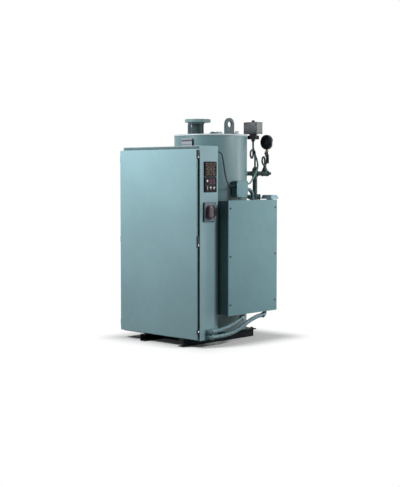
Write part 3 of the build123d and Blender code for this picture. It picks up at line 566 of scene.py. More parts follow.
def weld(line, radius, ripple):
    """A closed run of weld: a tube whose radius swells once for each drop laid down."""
    gaps = np.linalg.norm(np.roll(line, -1, axis=0) - line, axis=1)
    drops = max(3, round(gaps.sum() / ripple))
    run = np.concatenate([[0], np.cumsum(gaps)[:-1]]) / gaps.sum()
    return tube(line, radius * (0.9 + 0.12 * np.abs(np.sin(pi * drops * run))), 8, closed=True)


def even_line(line, step):
    """A line's points moved to even spacing, and how far along the line each one is."""
    gaps = np.linalg.norm(np.diff(line, axis=0), axis=1)
    run = np.concatenate([[0], np.cumsum(gaps)])
    marks = np.linspace(0, run[-1], int(run[-1] / step) + 2)
    return np.stack([np.interp(marks, run, line[:, axis]) for axis in range(3)], axis=1), marks


def circle(radius, height, centre=(0, 0), count=120):
    """Points spaced evenly on a level circle: the cosine goes right and the sine goes up."""
    turn = full_turn(count)
    return np.stack([centre[0] + radius * np.cos(turn), centre[1] + radius * np.sin(turn),
                     np.full(count, height)], axis=1)


def traced(curve, merge=0.0):
    """The points and faces that a curve gives as a mesh. Points closer than merge become one."""
    holder = bpy.data.objects.new(curve.name, curve)
    bpy.context.scene.collection.objects.link(holder)
    bpy.context.view_layer.update()
    mesh = bpy.data.meshes.new_from_object(holder)
    if merge:
        edit = bmesh.new()
        edit.from_mesh(mesh)
        bmesh.ops.remove_doubles(edit, verts=edit.verts, dist=merge)
        edit.to_mesh(mesh)
        edit.free()
    points = np.array([vertex.co[:] for vertex in mesh.vertices])
    faces = [list(polygon.vertices) for polygon in mesh.polygons]
    bpy.data.objects.remove(holder)
    bpy.data.meshes.remove(mesh)
    bpy.data.curves.remove(curve)
    return points, faces


def lettering(text, size, depth):
    """Raised figures: a text curve made a mesh, centred on its own middle."""
    curve = bpy.data.curves.new("figures", "FONT")
    curve.body = text
    curve.size = size
    curve.extrude = depth / 2
    curve.resolution_u = 3
    curve.align_x = "CENTER"
    curve.align_y = "CENTER"
    return moved(traced(curve, size * 0.0005), 0, 0, depth / 2)


# Free conduits and cables: control points as in the part's source, in metres
front_conduit_points = [
    (0.362, -0.372, 0.109), (0.362, -0.318, 0.109), (0.367, -0.262, 0.117),
    (0.375, -0.200, 0.134), (0.381, -0.150, 0.152), (0.386, -0.120, 0.167),
    (0.386, -0.092, 0.179),
]
rear_conduit_points = [
    (0.362, -0.372, 0.069), (0.362, -0.306, 0.069), (0.367, -0.240, 0.072),
    (0.374, -0.182, 0.080), (0.380, -0.130, 0.094), (0.384, -0.082, 0.116),
    (0.387, -0.040, 0.138), (0.389, 0.004, 0.156), (0.391, 0.056, 0.172),
    (0.391, 0.106, 0.183), (0.391, 0.141, 0.183),
]
probe_cable_points = [
    (0.320, -0.2705, 1.380), (0.320, -0.246, 1.380), (0.322, -0.227, 1.361),
    (0.321, -0.217, 1.334), (0.319, -0.207, 1.300), (0.316, -0.195, 1.256),
    (0.309, -0.174, 1.204), (0.302, -0.147, 1.160), (0.299, -0.116, 1.137),
    (0.299, -0.083, 1.137),
]
control_cable_points = [
    (0.1562, 0.3031, 1.471), (0.1562, 0.3031, 1.437), (0.163, 0.307, 1.399),
    (0.179, 0.309, 1.359), (0.200, 0.303, 1.322), (0.218, 0.288, 1.289),
    (0.232, 0.266, 1.258), (0.243, 0.239, 1.240), (0.252, 0.209, 1.212),
    (0.262, 0.177, 1.187), (0.275, 0.146, 1.168), (0.288, 0.117, 1.156),
    (0.297, 0.091, 1.152), (0.297, 0.066, 1.152),
]


def route_spline(name, points):
    """A NURBS curve through the air that the listed points pull into one smooth line."""
    curve = bpy.data.curves.new(name, "CURVE")
    curve.dimensions = "3D"
    curve.resolution_u = 16
    spline = curve.splines.new("NURBS")
    spline.points.add(len(points) - 1)
    for point, place in zip(spline.points, points):
        point.co = (*place, 1)
    spline.order_u = 3
    spline.use_endpoint_u = True
    return curve


def ring_jacket(name, points, node, diameter=0.030, pitch=0.0056, depth=0.0007, sides=28):
    """A flexible jacket: a tube whose radius rises and falls by a cosine along its length."""
    route, _ = traced(route_spline(name + "_route", points))
    line, marks = even_line(route, pitch / 6)
    radii = diameter / 2 - depth * (1 - np.cos(2 * pi * marks / pitch)) / 2
    slot_name = material_slot[node]
    piece = make_object(name, tube(line, radii, sides), slot_finish[slot_name],
                        "boiler", sharp=60)
    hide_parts(node)


def round_cable(name, points, diameter, node, finish):
    """A smooth cable: its route's own curve with a round section and filled ends."""
    curve = route_spline(name, points)
    curve.bevel_depth = diameter / 2
    curve.bevel_resolution = 6
    curve.use_fill_caps = True
    curve.materials.append(finishes[finish])
    piece = bpy.data.objects.new(name, curve)
    bpy.context.scene.collection.objects.link(piece)
    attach(piece, "boiler")
    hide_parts(node)


ring_jacket("conduit_front", front_conduit_points, "power_conduit_front")
ring_jacket("conduit_rear", rear_conduit_points, "power_conduit_rear")
round_cable("cable_to_probe", probe_cable_points, 0.010, "probe_cable", "cable_jacket")
round_cable("cable_to_control", control_cable_points, 0.013, "control_cable", "green_cable")


# Details are drawn in millimetres. One that is given no place is drawn in the frame's own axes
def fit(name, finish, slot_name, shapes, place=(0, 0, 0), out=up_axis, body="boiler", sharp=35):
    """Shapes drawn as right, up and out from a place, joined as one piece in metres."""
    points, faces = stand(join(shapes), place, out)
    make_object(name, (points * millimetre, faces), finish, body, sharp)


def fit_at(place, out):
    """fit for the pieces that share one place and the way they face."""
    return partial(fit, place=place, out=out)


# Cabinet: a dark rubber seal over the rim of the door opening, which also stands as painted shade in
# the recess round the door, and a strip above the door that is painted shade on the body's lip
seal_profile = [(3.5, 475), (3.5, 503.3), (2.9, 503.9), (-4.4, 503.9), (-5, 503.3), (-5, 490),
                (-2.7, 490), (-2.7, 503.74), (0.2, 503.74), (0.2, 475)]
# painted shade: the seal covers the whole depth of the recess between door and body, in dark rubber
fit("door_seal_and_recess_shade", "seal_rubber", "cable_jacket", [rim(756, 1308, 3, seal_profile)], (-56, 0, 728),
    front_axis)
# painted shade: a thin grey strip where the body's lip above the door lies in shade
fit("shade_strip_above_door", "drip_rubber", "cable_jacket", [soft_block(772, 17, 0, 2.4, 1.5, 0.8)],
    (-56, -472.3, 1408.6), front_axis)

# Door clamps: a bright screw low on each one, with its washer
clamp_washer = lathe([(6.2, 0), (6.4, 0.4), (6.4, 1.0), (6.0, 1.3)], 28)
clamp_screw = join([clamp_washer, moved(button_screw(4.8, 3.0), 0, 0, 1.2)])
fit("clamp_screws", "bright_ring", "plated_steel", spread(clamp_screw, [0], (119, 725, 1339)),
    (344.9, -495, 0), side_axis, "door")

# Hinges: pin heads above and below each knuckle, and countersunk screws in the leaves
hinge_heights = (120, 740, 1333)
screw_heights = [height + rise for height in hinge_heights for rise in (-14, 14)]
pin_heads = [stand(dome(4.6, 2.6), (-458, -487, height + 14 * way), way * up_axis)
             for height in hinge_heights for way in (1, -1)]
fit("hinge_pin_heads", "zinc_plate", "plated_steel", pin_heads)
fit("hinge_leaf_screws", "zinc_plate", "plated_steel",
    spread(button_screw(3.4, 1.8), [0], screw_heights), (-450.9, -453, 0), -side_axis)
fit("hinge_door_screws", "zinc_plate", "plated_steel",
    spread(button_screw(2.9, 1.6), [0], screw_heights), (-450.9, -501, 0), -side_axis, "door")


# Controllers: a raised frame, lit figures, a lamp and small keys
def lit_figure(number, width, height, stroke):
    """One figure of seven bars: each lit bar is a flat six-sided strip with pointed ends."""
    lit = ("abcdef", "bc", "abged", "abgcd", "fgbc", "afgcd", "afgedc", "abc", "abcdefg", "abcfgd")
    half_w, half_h = width / 2, height / 4
    places = {"a": (0, 2 * half_h, 0), "g": (0, 0, 0), "d": (0, -2 * half_h, 0),
              "f": (-half_w, half_h, 1), "b": (half_w, half_h, 1),
              "e": (-half_w, -half_h, 1), "c": (half_w, -half_h, 1)}
    shapes = []
    for bar in lit[number]:
        right, up, upright_bar = places[bar]
        long = (2 * half_h if upright_bar else width) / 2 - 0.3
        tip = long - stroke / 2
        outline = np.array([(-long, 0), (-tip, -stroke / 2), (tip, -stroke / 2), (long, 0),
                            (tip, stroke / 2), (-tip, stroke / 2)])
        if upright_bar:
            outline = outline @ np.array([[0, 1], [-1, 0]])
        shapes.append(slab(outline + np.array([right + 0.1 * up, up]), 0, 0.4))
    return join(shapes)


def figure_row(numbers, centre, width, height, stroke, step):
    """Figures side by side on the controller's window, centred on a point of it."""
    start = -(len(numbers) - 1) / 2
    return join([moved(lit_figure(number, width, height, stroke), centre[0] + (start + place) * step,
                       centre[1]) for place, number in enumerate(numbers)])


on_upper = fit_at((342.5, -368, 1257.5), side_axis)
on_lower = fit_at((342.5, -368, 1148.5), side_axis)
border = rim(113, 94, 3, [(-1.4, 0), (0.5, 0), (0.5, 2.4), (0.1, 3.0), (-1.0, 3.0), (-1.4, 2.6)])
on_upper("controller_frame_upper", "black_plastic", "black_plastic", [border])
on_lower("controller_frame_lower", "black_plastic", "black_plastic", [border])
on_upper("upper_figures", "amber_light", "plate_metal",
         [figure_row(numbers, (1, height), 20, 36, 4.4, 35)
          for numbers, height in (((5, 0, 2), 22.5), ((3, 0, 6), -22.5))])
on_lower("lower_figures", "red_light", "plate_metal", [figure_row((8, 6), (18, 22), 18, 32, 5, 33)])
on_lower("status_lamp", "pale_light", "plate_metal", [moved(dome(8, 2.6), -34, 26)])

key_places = (-35, 0, 35)
key_height = -23
key_top, mark_top = 1.3, 1.7
on_lower("controller_keys", "black_plastic", "black_plastic",
         spread(soft_block(30, 34, 0, key_top, 9, 0.5), key_places, [key_height]))
bar_mark = np.array([(-2.4, -13), (2.4, -13), (2.4, 13), (-2.4, 13)])
arrow = np.array([(-12, 1), (2, -11), (6, -7), (-1, 0), (11, 3), (10, 9), (-2, 7), (-4, 10)])
key_outlines = (bar_mark, arrow, arrow * 0.96 - np.array([0, 2]))
on_lower("key_marks", "mark_white", "dial_face",
         [moved(slab(outline, key_top, mark_top), right, key_height)
          for outline, right in zip(key_outlines, key_places)])

# Disconnect: black sides round the plate, which are painted shade, corner screws, a dark collar and
# marks, and on its handle a black rounded cheek, painted shade on the knob's right side, a grip's face
# and a pointer
on_switch = fit_at((336, -376.5, 957), side_axis)
plate_front = 11.9
side_profile = [(-0.3, 0.2), (1.1, 0.2), (1.1, 10.4), (0.5, 11.2), (-0.3, 11.3)]
# painted shade: the plate's sides are black all round
on_switch("disconnect_sides", "black_enamel", "black_plastic", [rim(119, 134, 8, side_profile)])
on_switch("disconnect_screws", "dark_steel", "plated_steel",
          spread(button_screw(4.0, 2.0), (-49, 49), (-56, 56), plate_front))
dial_ring = ring([(26.6, 0), (33, 0), (33, 0.7), (32.2, 1.3), (27.4, 1.3), (26.6, 0.7)])
on_switch("disconnect_dial_ring", "black_plastic", "black_plastic",
          [moved(dial_ring, 0, 0, plate_front)])
on_switch("disconnect_marks", "mark_white", "dial_face",
          [moved(lettering("ON", 10, 0.4), 0, 56.5, plate_front),
           moved(lettering("OFF", 10, 0.4), 45, 0, plate_front)])
# painted shade: a black cheek on the knob's right side, where the domed knob turns away from the light
shade_cheek_turn = np.linspace(-pi / 2, pi / 2, 25)
shade_cheek_rows = [at_level(np.stack([8 + (30 - inset) * np.cos(shade_cheek_turn),
                                 (44 - inset) * np.sin(shade_cheek_turn)], axis=1), level)
              for inset, level in ((0, 26.6), (0, 31), (2, 35), (6, 38), (11, 39.4))]
on_switch("handle_cheek", "black_plastic", "black_plastic", [skin(shade_cheek_rows)], body="disconnect")
on_switch("handle_grip_face", "grip_plastic", "switch_grey",
          [moved(soft_block(44, 92, 17, 41.4, 21, 4), -18)], body="disconnect")
pointer = slab([(-19.4, 30), (-16.6, 30), (-16.6, 39), (-19.4, 39)], 41.3, 41.65)
on_switch("handle_pointer", "mark_white", "dial_face", [pointer], body="disconnect")

# Terminal box: hexagon screws with washers round the cover, and the hood's nut and rivets
fit("terminal_cover_screws", "dark_steel", "plated_steel",
    spread(hex_screw(11, 3.2, 7.4), (-248, 248), (292, 637, 979)), (422.4, 0, 0), side_axis)
hood_parts = [moved(six_sided(44, 6.6), 376, 241, 1031.9)]
hood_parts += [stand(dome(2.6, 1.2), (376 + right, 197.9, 1046), (0, -1, 0.34)) for right in (-38, 38)]
fit("hood_nut_and_rivets", "box_enamel", "grey_green_paint", hood_parts)

# Probe box: cover screws and a dark gasket line behind the cover
on_probe_box = fit_at((322, -8.5, 1114.5), side_axis)
on_probe_box("probe_cover_screws", "dark_steel", "plated_steel",
             spread(button_screw(4.4, 2.3), (-50.5, 50.5), (-48.5, 48.5), 2.9))
gasket_profile = [(-2, -0.5), (0.35, -0.5), (0.35, 0.5), (-2, 0.5)]
on_probe_box("probe_gasket", "seal_rubber", "cable_jacket", [rim(121, 117, 8, gasket_profile)])

# Conduit fittings: hexagon nuts, with their flats towards each other, and a ring at each jacket's end
thin_nut = six_sided(37, 5.4)
thick_nut = six_sided(37, 12.6)
start_ring = ring([(14.6, 0), (16.9, 0), (16.4, 2.6), (15.3, 3.4), (14.6, 3.4)], 32)
end_ring = ring([(14.6, -3.4), (15.3, -3.4), (16.4, -2.6), (16.9, 0), (14.6, 0)], 32)
nuts = []
for height in (69, 109):
    nuts += [stand(thin_nut, (335.9, -398, height), side_axis, (0, 1, 0)),
             stand(thick_nut, (362, -384.3, height), -front_axis, side_axis),
             stand(start_ring, (362, -371.8, height), -front_axis, side_axis)]
for end, corner in (((386, -92, 179), (386, -68.1, 189.24)), ((391, 141, 183), (391, 167, 183))):
    toward = unit(np.subtract(corner, end))
    seat = np.array(end) - 0.3 * toward
    nuts += [stand(thick_nut, seat, toward, side_axis), stand(end_ring, seat, toward, side_axis),
             stand(thin_nut, (*corner[:2], 212.8), up_axis, side_axis)]
fit("conduit_nuts", "conduit_jacket", "iron_fittings", nuts)
fit("probe_elbow_nuts", "elbow_enamel", "iron_fittings",
    [stand(six_sided(33, 5.3), (306, 51.9, 1110), -front_axis),
     moved(six_sided(33, 12.3), 306, 124, 1031.9)])
glands = [stand(gland_nut(across, cable), place, out) for across, cable, place, out in (
    (21, 10, (320, -284.6, 1380), -front_axis), (21, 10, (299, -68.9, 1137), front_axis),
    (22, 13, (297, 51.9, 1152), -front_axis), (22, 13, (156.2, 303.1, 1485.1), -up_axis))]
fit("cable_glands", "dark_steel", "iron_fittings", glands)

# Vessel top: weld runs, the cover's bolts and gasket, the plug's washer and the grooves of the
# flange's face
nozzle_axis = (0, -140)
weld_runs = [weld(circle(48.6, 1517.4, nozzle_axis), 3.3, 4.2),
             weld(circle(44.6, 1587.0, nozzle_axis), 1.9, 3)]
for lug_x in (-186, 186):
    foot = at_level(round_outline(18.5, 96.5, 2) + np.array([lug_x, 0]), 1516.6)
    evened, _ = even_line(np.concatenate([foot, foot[:1]]), 3)
    weld_runs.append(weld(evened[:-1], 2.9, 5))
fit("top_welds", "pipe_enamel", "grey_green_paint", weld_runs, sharp=60)
fit("inspection_cover_bolts", "zinc_plate", "plated_steel", six_round(hex_screw(10, 3.6, 7.6), 36, 30),
    (0, 60, 1536.9))
fit("inspection_gasket", "seal_rubber", "cable_jacket",
    [ring([(50, 0), (56, 0), (56, 1.4), (50, 1.4)])], (0, 60, 1515))
fit("plug_washer", "dark_steel", "plated_steel",
    [ring([(17, 0), (21.5, 0), (21.5, 1.2), (20.8, 1.8), (17, 1.8)])], (150, 125, 1515))
groove_count = 25
groove_radius = np.linspace(41, 62.6, groove_count)
groove_height = 1627.0 + 0.28 * (np.arange(groove_count) % 2)
groove_top = np.stack([groove_radius, groove_height], axis=1)[::-1]
groove_profile = np.concatenate([[(41, 1626.6), (62.6, 1626.6)], groove_top])
fit("flange_face_grooves", "dark_steel", "iron_fittings", [ring(groove_profile, 96)], (*nozzle_axis, 0),
    sharp=20)

# Jacket: rivets down the lap strip, cover plates where the pipes come out, and the plate's rivets
lap_out = np.array([cos(radians(-97)), sin(radians(-97)), 0])
trim_out = np.array([cos(radians(56)), sin(radians(56)), 0])
fit("lap_rivets", "jacket_enamel", "grey_green_paint",
    spread(dome(3.2, 1.5), [0], np.linspace(92, 1478, 22)), lap_out * 273.4, lap_out)
cover_plates = []
for height, pipe_radius, plate_radius in ((1228, 16.7, 31), (1051, 10.65, 24), (440, 13.35, 27)):
    rows = [(plate_radius, 0), (plate_radius, 4.2), (plate_radius - 1, 5.0),
            (pipe_radius + 4, 6.4), (pipe_radius + 2.6, 9.4), (pipe_radius + 0.2, 10)]
    cover_plates.append(moved(lathe(rows, 40), 0, height))
fit("pipe_cover_plates", "jacket_enamel", "grey_green_paint", cover_plates, trim_out * 269.4, trim_out)
fit("data_plate_rivets", "bright_ring", "plated_steel", spread(dome(3.0, 1.3), (-45, 45), (-22, 22)),
    (20, -278.9, 1456), front_axis)

# Skid: hexagon bolts that hold the deck plate down
fit("deck_bolts", "dark_steel", "plated_steel",
    spread(hex_screw(19, 8.4, 14.5), (-212, 212), (-246, 230), 57.9))


# Trim piping: hexagon nuts, unions, a sleeve, thread ends and the square plug
def on_trim(radius, height):
    """A point in the trim's upright plane, at a radius from the vessel's axis."""
    return trim_out * radius + up_axis * height


column_place = on_trim(344, 0)
gauge_place = np.array([250.94, 352.90, 0])
control_place = np.array([176.84, 281.32, 0])
manifold_height = 1228

# Nuts that face up: the size across their flats, thickness, place and height above the floor
nut_rows = (
    (23, 11, on_trim(421, 0), 1283.6), (23, 12, gauge_place, 1355.1), (35, 8, column_place, 1259.8),
    (23, 11, column_place, 1267.5), (25, 13.5, control_place, 1471.4), (36, 6.5, column_place, 368.2),
    (36, 6.5, column_place, 398.3), (31, 9, column_place, 352.5),
)
pipe_nuts = [upright(six_sided(across, thick), place, level)
             for across, thick, place, level in nut_rows]
pipe_nuts += [upright(union(13.35, 42, 30), column_place, 560),
              stand(union(10.65, 33, 24), on_trim(288, 1051), trim_out)]
fit("pipe_nuts_and_unions", "painted_iron", "iron_fittings", pipe_nuts)
sleeve_rows = [(13.5, 0), (16.6, 0.4), (17.6, 1.6), (17.6, 116), (16.6, 117.4), (13.5, 117.8)]
fit("column_sleeve", "painted_iron", "iron_fittings",
    [upright(lathe(sleeve_rows, 36), column_place, 1077)])
thread_ends = [stand(threads(16.7, 4.6), on_trim(radius, manifold_height), trim_out)
               for radius in (315.6, 367.4, 393, 444.4)]
thread_ends += [upright(threads(13.35, 5), column_place, height) for height in (1022.5, 468.5)]
fit("thread_ends", "dark_steel", "iron_fittings", thread_ends, sharp=20)
square = [(-10.7, -10.7), (10.7, -10.7), (10.7, 10.7), (-10.7, 10.7)]
plug_rows = [(16, 0), (18.4, 0.4), (19, 1.2), (19, 3.4), (18.2, 4.2), (12, 4.4)]
fit("manifold_end_plug", "painted_iron", "iron_fittings", [lathe(plug_rows, 36), slab(square, 4, 19.2)],
    on_trim(448.4, manifold_height), trim_out)

# Drain valve: a bonnet, a stem and a small spoked hand wheel
on_valve = fit_at(on_trim(344, 386.5), trim_out)
bonnet = [lathe([(12, 0), (12, 6), (9, 8)]), moved(six_sided(20, 7), 0, 0, 7.5),
          lathe([(3.6, 13), (3.6, 28)], 20)]
on_valve("drain_bonnet", "painted_iron", "iron_fittings", [moved(part, 0, 0, 19) for part in bonnet])
wheel = [tube(circle(20, 0, count=48), 2.6, 10, closed=True),
         lathe([(6, -2.5), (6.4, -2), (6.4, 2), (5.6, 2.6)], 24), moved(six_sided(8, 4), 0, 0, 2.5)]
for turn in np.radians([45, 135, 225, 315]):
    spoke = [(0.1 * cos(turn), 0.1 * sin(turn), 0.5), (19 * cos(turn), 19 * sin(turn), 0)]
    wheel.append(tube(spoke, 1.9, 8))
on_valve("drain_wheel", "wheel_red", "iron_fittings", [moved(part, 0, 0, 46) for part in wheel])

# Gauge cock: hexagon ends, a packing nut, and the lever's nut and sleeve
cock_parts = [upright(six_sided(25, 7), gauge_place, 1367.1),
              upright(six_sided(25, 6.5), gauge_place, 1386.4),
              stand(six_sided(16, 5), gauge_place + np.array([-12.9, 0, 1380]), -side_axis)]
fit("cock_hexagons", "cock_brass", "iron_fittings", cock_parts)
fit("cock_lever_nut", "bright_ring", "plated_steel", [hex_screw(12, 4, 7.4)], (268.15, 352.90, 1380),
    side_axis, "cock_lever")
fit("cock_lever_sleeve", "black_plastic", "black_plastic", [soft_block(12.6, 42, 0, 5.4, 6.2, 1.5)],
    (263.55, 352.90, 1325), side_axis, "cock_lever")

# Gauge: stem nut, bright bezel, glass, printed scale and needle
on_gauge = fit_at(gauge_place + up_axis * 1464, -front_axis)
scale_start = 225
mark_end, mark_foot, figure_radius = 43, 7.45, 29
fit("gauge_stem_nut", "cock_brass", "iron_fittings", [upright(six_sided(23, 9.5), gauge_place, 1394)])
bezel_profile = [(55.2, 6.2), (55.9, 6.8), (55.9, 12.4), (55, 13.6), (51.5, 14.4), (48.2, 13.2),
                 (47.4, 11.4), (47.6, 10.6)]
on_gauge("gauge_bezel", "bright_ring", "plated_steel", [ring(bezel_profile, 96)])
glass = lathe([(47.5, 10.8), (47.7, 11.1), (47.7, 12.1), (47.4, 12.4)], 64)
on_gauge("gauge_glass", "dial_glass", "dial_face", [glass])
scale_marks = []
for step in range(51):
    angle = radians(scale_start - 5.4 * step)
    inner, half = (36.5, 0.6) if step % 10 == 0 else (39, 0.4) if step % 5 == 0 else (40.5, 0.22)
    outward = np.array([cos(angle), sin(angle)])
    across = np.array([-outward[1], outward[0]])
    corners = [outward * inner - across * half, outward * mark_end - across * half,
               outward * mark_end + across * half, outward * inner + across * half]
    scale_marks.append(slab(corners, mark_foot, 7.62))
for step in range(6):
    angle = radians(scale_start - 54 * step)
    scale_marks.append(moved(lettering(str(2 * step), 9, 0.17), figure_radius * cos(angle),
                             figure_radius * sin(angle), mark_foot))
on_gauge("gauge_scale", "mark_black", "dial_face", scale_marks)
needle_cos, needle_sin = cos(radians(scale_start)), sin(radians(scale_start))
needle_turn = np.array([[needle_cos, needle_sin], [-needle_sin, needle_cos]])
needle_outline = np.array([(-13, -1.6), (0, -1.8), (38, -0.35), (38, 0.35), (0, 1.8), (-13, 1.6)])
on_gauge("gauge_needle", "mark_black", "black_enamel",
         [slab(needle_outline @ needle_turn, 8.4, 8.9), lathe([(3.8, 7.5), (4, 9.2), (3, 10)], 24)])

# Pressure control: a dark front cover with its screws, a seam, base screws and a knob's skirt
control_face = control_place + up_axis * 1569.5
fit("control_front_cover", "cover_dark", "dark_grey_enamel",
    [soft_block(127, 87, 34.3, 37.2, 4, 1.2)], control_face, front_axis)
lip_profile = [(-1.2, 37), (0.8, 37), (0.8, 38.1), (0.3, 38.6), (-0.7, 38.6), (-1.2, 38.1)]
fit("control_cover_lip", "dark_steel", "dark_grey_enamel", [rim(119, 79, 3, lip_profile)], control_face,
    front_axis)
seam = rim(129, 69, 4, [(-1.5, 0), (0.25, 0), (0.25, 1.6), (-1.5, 1.6)])
fit("control_seam", "mark_black", "black_enamel", [upright(seam, control_place, 1534)])
small_screw = button_screw(3.4, 1.8)
control_screws = [stand(shape, control_face, front_axis)
                  for shape in spread(small_screw, (-54, 54), (-34, 34), 37.1)]
control_screws += [stand(small_screw, control_place + np.array([64.4, along, 1530]), side_axis)
                   for along in (-22, 22)]
fit("control_screws", "dark_steel", "plated_steel", control_screws)
fit("control_base_screws", "dark_steel", "plated_steel", six_round(button_screw(3.2, 2.4), 37, 20),
    control_place + up_axis * 1512.6)
knob_skirt = lathe([(11.2, 0), (11.8, 0.8), (11.8, 9.8), (10.6, 10.8), (3.0, 10.9)], 24)
fit("control_knob_skirt", "black_plastic", "black_plastic",
    [upright(knob_skirt, control_place, 1616.2)])

# Inside the cabinet, seen with the door open: ducts, rails, contactors, fuses and a terminal strip.
# Everything stands on the mounting panel, drawn as right, up and out from the panel's middle
equip = fit_at((-56, -303.9, 735), front_axis)
rail_heights = (430, 90, -235, -490)
contactor_heights = rail_heights[:2]
fuse_height, strip_height = rail_heights[2:]
contactor_places = (-165, 0, 165)
pole_places = (-36, 0, 36)
fuse_places = [-216 + 54 * place for place in range(9)]
strip_places = [-205 + 8.1 * place for place in range(34)]


def wire_duct(centre_x, centre_z, length, width, depth=60, pitch=12.5):
    """A slotted duct: two comb walls of narrow fingers on a tray, under a flat lid. One that stands
    beside the panel's middle runs upwards, and the others run across."""
    count = int((length - 4) / pitch)
    shapes = [slab(round_outline(length, width, 1), 0, 2),
              slab(round_outline(length, width + 2, 1.5), depth - 3, depth)]
    finger = slab(round_outline(7, 1.6, 0.5, 2), 2, depth - 3)
    shapes += spread(finger, [(step - (count - 1) / 2) * pitch for step in range(count)],
                     (0.8 - width / 2, width / 2 - 0.8))
    points, faces = join(shapes)
    if centre_x:
        points = points[:, [1, 0, 2]] * np.array([-1, 1, 1])
    return moved((points, faces), centre_x, centre_z)


def top_hat_rail(length, centre_z):
    """A top-hat rail: its bent profile, 35 high and 7.5 deep, carried along its length."""
    outline = np.array([(-17.5, 7.5), (-17.5, 6.5), (-13.5, 6.5), (-13.5, 0), (13.5, 0), (13.5, 6.5),
                        (17.5, 6.5), (17.5, 7.5), (12.5, 7.5), (12.5, 1), (-12.5, 1), (-12.5, 7.5)])
    ends = [np.c_[np.full(len(outline), x), outline] for x in (-length / 2, length / 2)]
    return moved(skin(ends), 0, centre_z)


def stepped_block(width, sections, edge=1.5):
    """A device body: blocks of one width stacked outwards, each with its height and middle."""
    return join([moved(soft_block(width, height, low, high, 2.5, edge), 0, middle)
                 for height, middle, low, high in sections])


def wire(across, steps, radius, parts=8, rounds=12):
    """A stiff wire bent between a terminal and a duct: a tube along a row of points, which are given
    as up and out. Each stretch is cut into parts, and each round puts a point between its
    neighbours."""
    last = len(steps) - 1
    marks = np.linspace(0, last, parts * last + 1)
    up, out = [np.interp(marks, np.arange(last + 1), column) for column in np.transpose(steps)]
    line = np.stack([np.full(len(marks), float(across)), up, out], axis=1)
    for _ in range(rounds):
        line[1:-1] = (line[:-2] + 2 * line[1:-1] + line[2:]) / 4
    return tube(line, radius, 8)


equip("wire_ducts", "duct_grey", "switch_grey",
      [wire_duct(0, height, 640, 50) for height in (585, -585)]
      + [wire_duct(0, height, 540, 40) for height in (235, -75, -395)]
      + [wire_duct(side, 0, 1110, 50) for side in (-310, 310)])
equip("mounting_rails", "zinc_plate", "plated_steel",
      [top_hat_rail(530, height) for height in rail_heights])
contactor_body = stepped_block(110, [(150, 0, 7, 58), (104, 0, 58, 96)])
contactor_front = stepped_block(72, [(62, 0, 95, 112), (30, 0, 112, 117)])
equip("contactor_bodies", "black_plastic", "black_plastic",
      spread(contactor_body, contactor_places, contactor_heights))
equip("contactor_fronts", "duct_grey", "switch_grey",
      spread(contactor_front, contactor_places, contactor_heights))
fuse_holder = stepped_block(44, [(118, 0, 7, 30), (26, 46, 30, 50), (26, -46, 30, 50)])
equip("fuse_holders", "black_plastic", "black_plastic", spread(fuse_holder, fuse_places, [fuse_height]))
barrel_rows = [(8, 0), (12, 1), (12, 17), (11, 18), (11, 60), (12, 61), (12, 77), (8, 78)]
turned, barrel_faces = lathe(barrel_rows, 24)
barrel = (turned[:, [0, 2, 1]] * np.array([-1, 1, 1]), barrel_faces)
equip("fuse_barrels", "fuse_pale", "dial_face", spread(barrel, fuse_places, [-274], 44))
terminal_block = stepped_block(7.4, [(52, 0, 7, 32), (34, 0, 32, 46)], 0.8)
equip("terminal_strip", "duct_grey", "switch_grey",
      spread(terminal_block, strip_places, [strip_height]))
fuse_block = stepped_block(54, [(84, 0, 7, 52), (46, 0, 52, 66)])
equip("control_fuses", "black_plastic", "black_plastic", spread(fuse_block, (150, 210), [strip_height]))
pole_heads = [middle + pole for middle in contactor_places for pole in pole_places]
pole_levels = [height + end for height in contactor_heights for end in (-63, 63)]
strip_levels = (strip_height - 17, strip_height + 17)
pole_head = lathe([(10, 0), (10, 3), (8.8, 4), (3, 4.1), (2.6, 2.6)], 20)
strip_head = lathe([(2.4, 0), (2.4, 1), (2, 1.5), (0.8, 1.6)], 12)
equip("terminal_heads", "bright_ring", "plated_steel",
      spread(pole_head, pole_heads, pole_levels, 57.8)
      + spread(strip_head, strip_places, strip_levels, 31.8))

pole_routes = (
    [(493, 60), (512, 62), (540, 48), (562, 30)], [(367, 60), (346, 62), (290, 46), (252, 30)],
    [(153, 60), (172, 62), (198, 48), (218, 30)], [(27, 60), (6, 62), (-30, 46), (-58, 30)],
)
fuse_routes = ([(-178, 36), (-164, 38), (-130, 34), (-92, 26)],
               [(-292, 36), (-306, 38), (-340, 34), (-378, 26)])
strip_routes = ([(-465, 24), (-452, 30), (-436, 26), (-412, 20)],
                [(-515, 24), (-528, 30), (-544, 26), (-564, 20)])
power_wires = [wire(across, route, 5) for across in pole_heads for route in pole_routes]
power_wires += [wire(across, route, 4.5) for across in fuse_places for route in fuse_routes]
equip("power_wires", "black_plastic", "cable_jacket", power_wires)
equip("control_wires", "wire_red", "cable_jacket",
      [wire(across, route, 1.5) for across in strip_places[::2] for route in strip_routes])
equip("panel_screws", "zinc_plate", "plated_steel",
      spread(button_screw(5, 3), (-342, 342), (-626, 626)))


# Studio: a pale floor, a soft key from the front left, a side light, a low strip behind and a dim
# surround. The floor is plain within half_plain of the middle and fades to white beyond it
surround_light = 0.09
floor_reach = 40
floor_shift = (0.02, 0.06, 0)
half_plain = (0.40, 0.42, 1)
floor_bounce = (0.14, 0.14, 0.14, 1)
floor_white = (0.95, 0.95, 0.95, 1)
fade_near, fade_far = -0.02, 0.26


def seen_ray(tree):
    """1 where the camera, a reflection or glass looks, and 0 for the light that the scene gives."""
    path = add_node(tree, "LightPath").outputs
    seen = calculate(tree, "Math", "MAXIMUM", path["Is Camera Ray"], path["Is Glossy Ray"])
    return calculate(tree, "Math", "MAXIMUM", seen, path["Is Transmission Ray"])


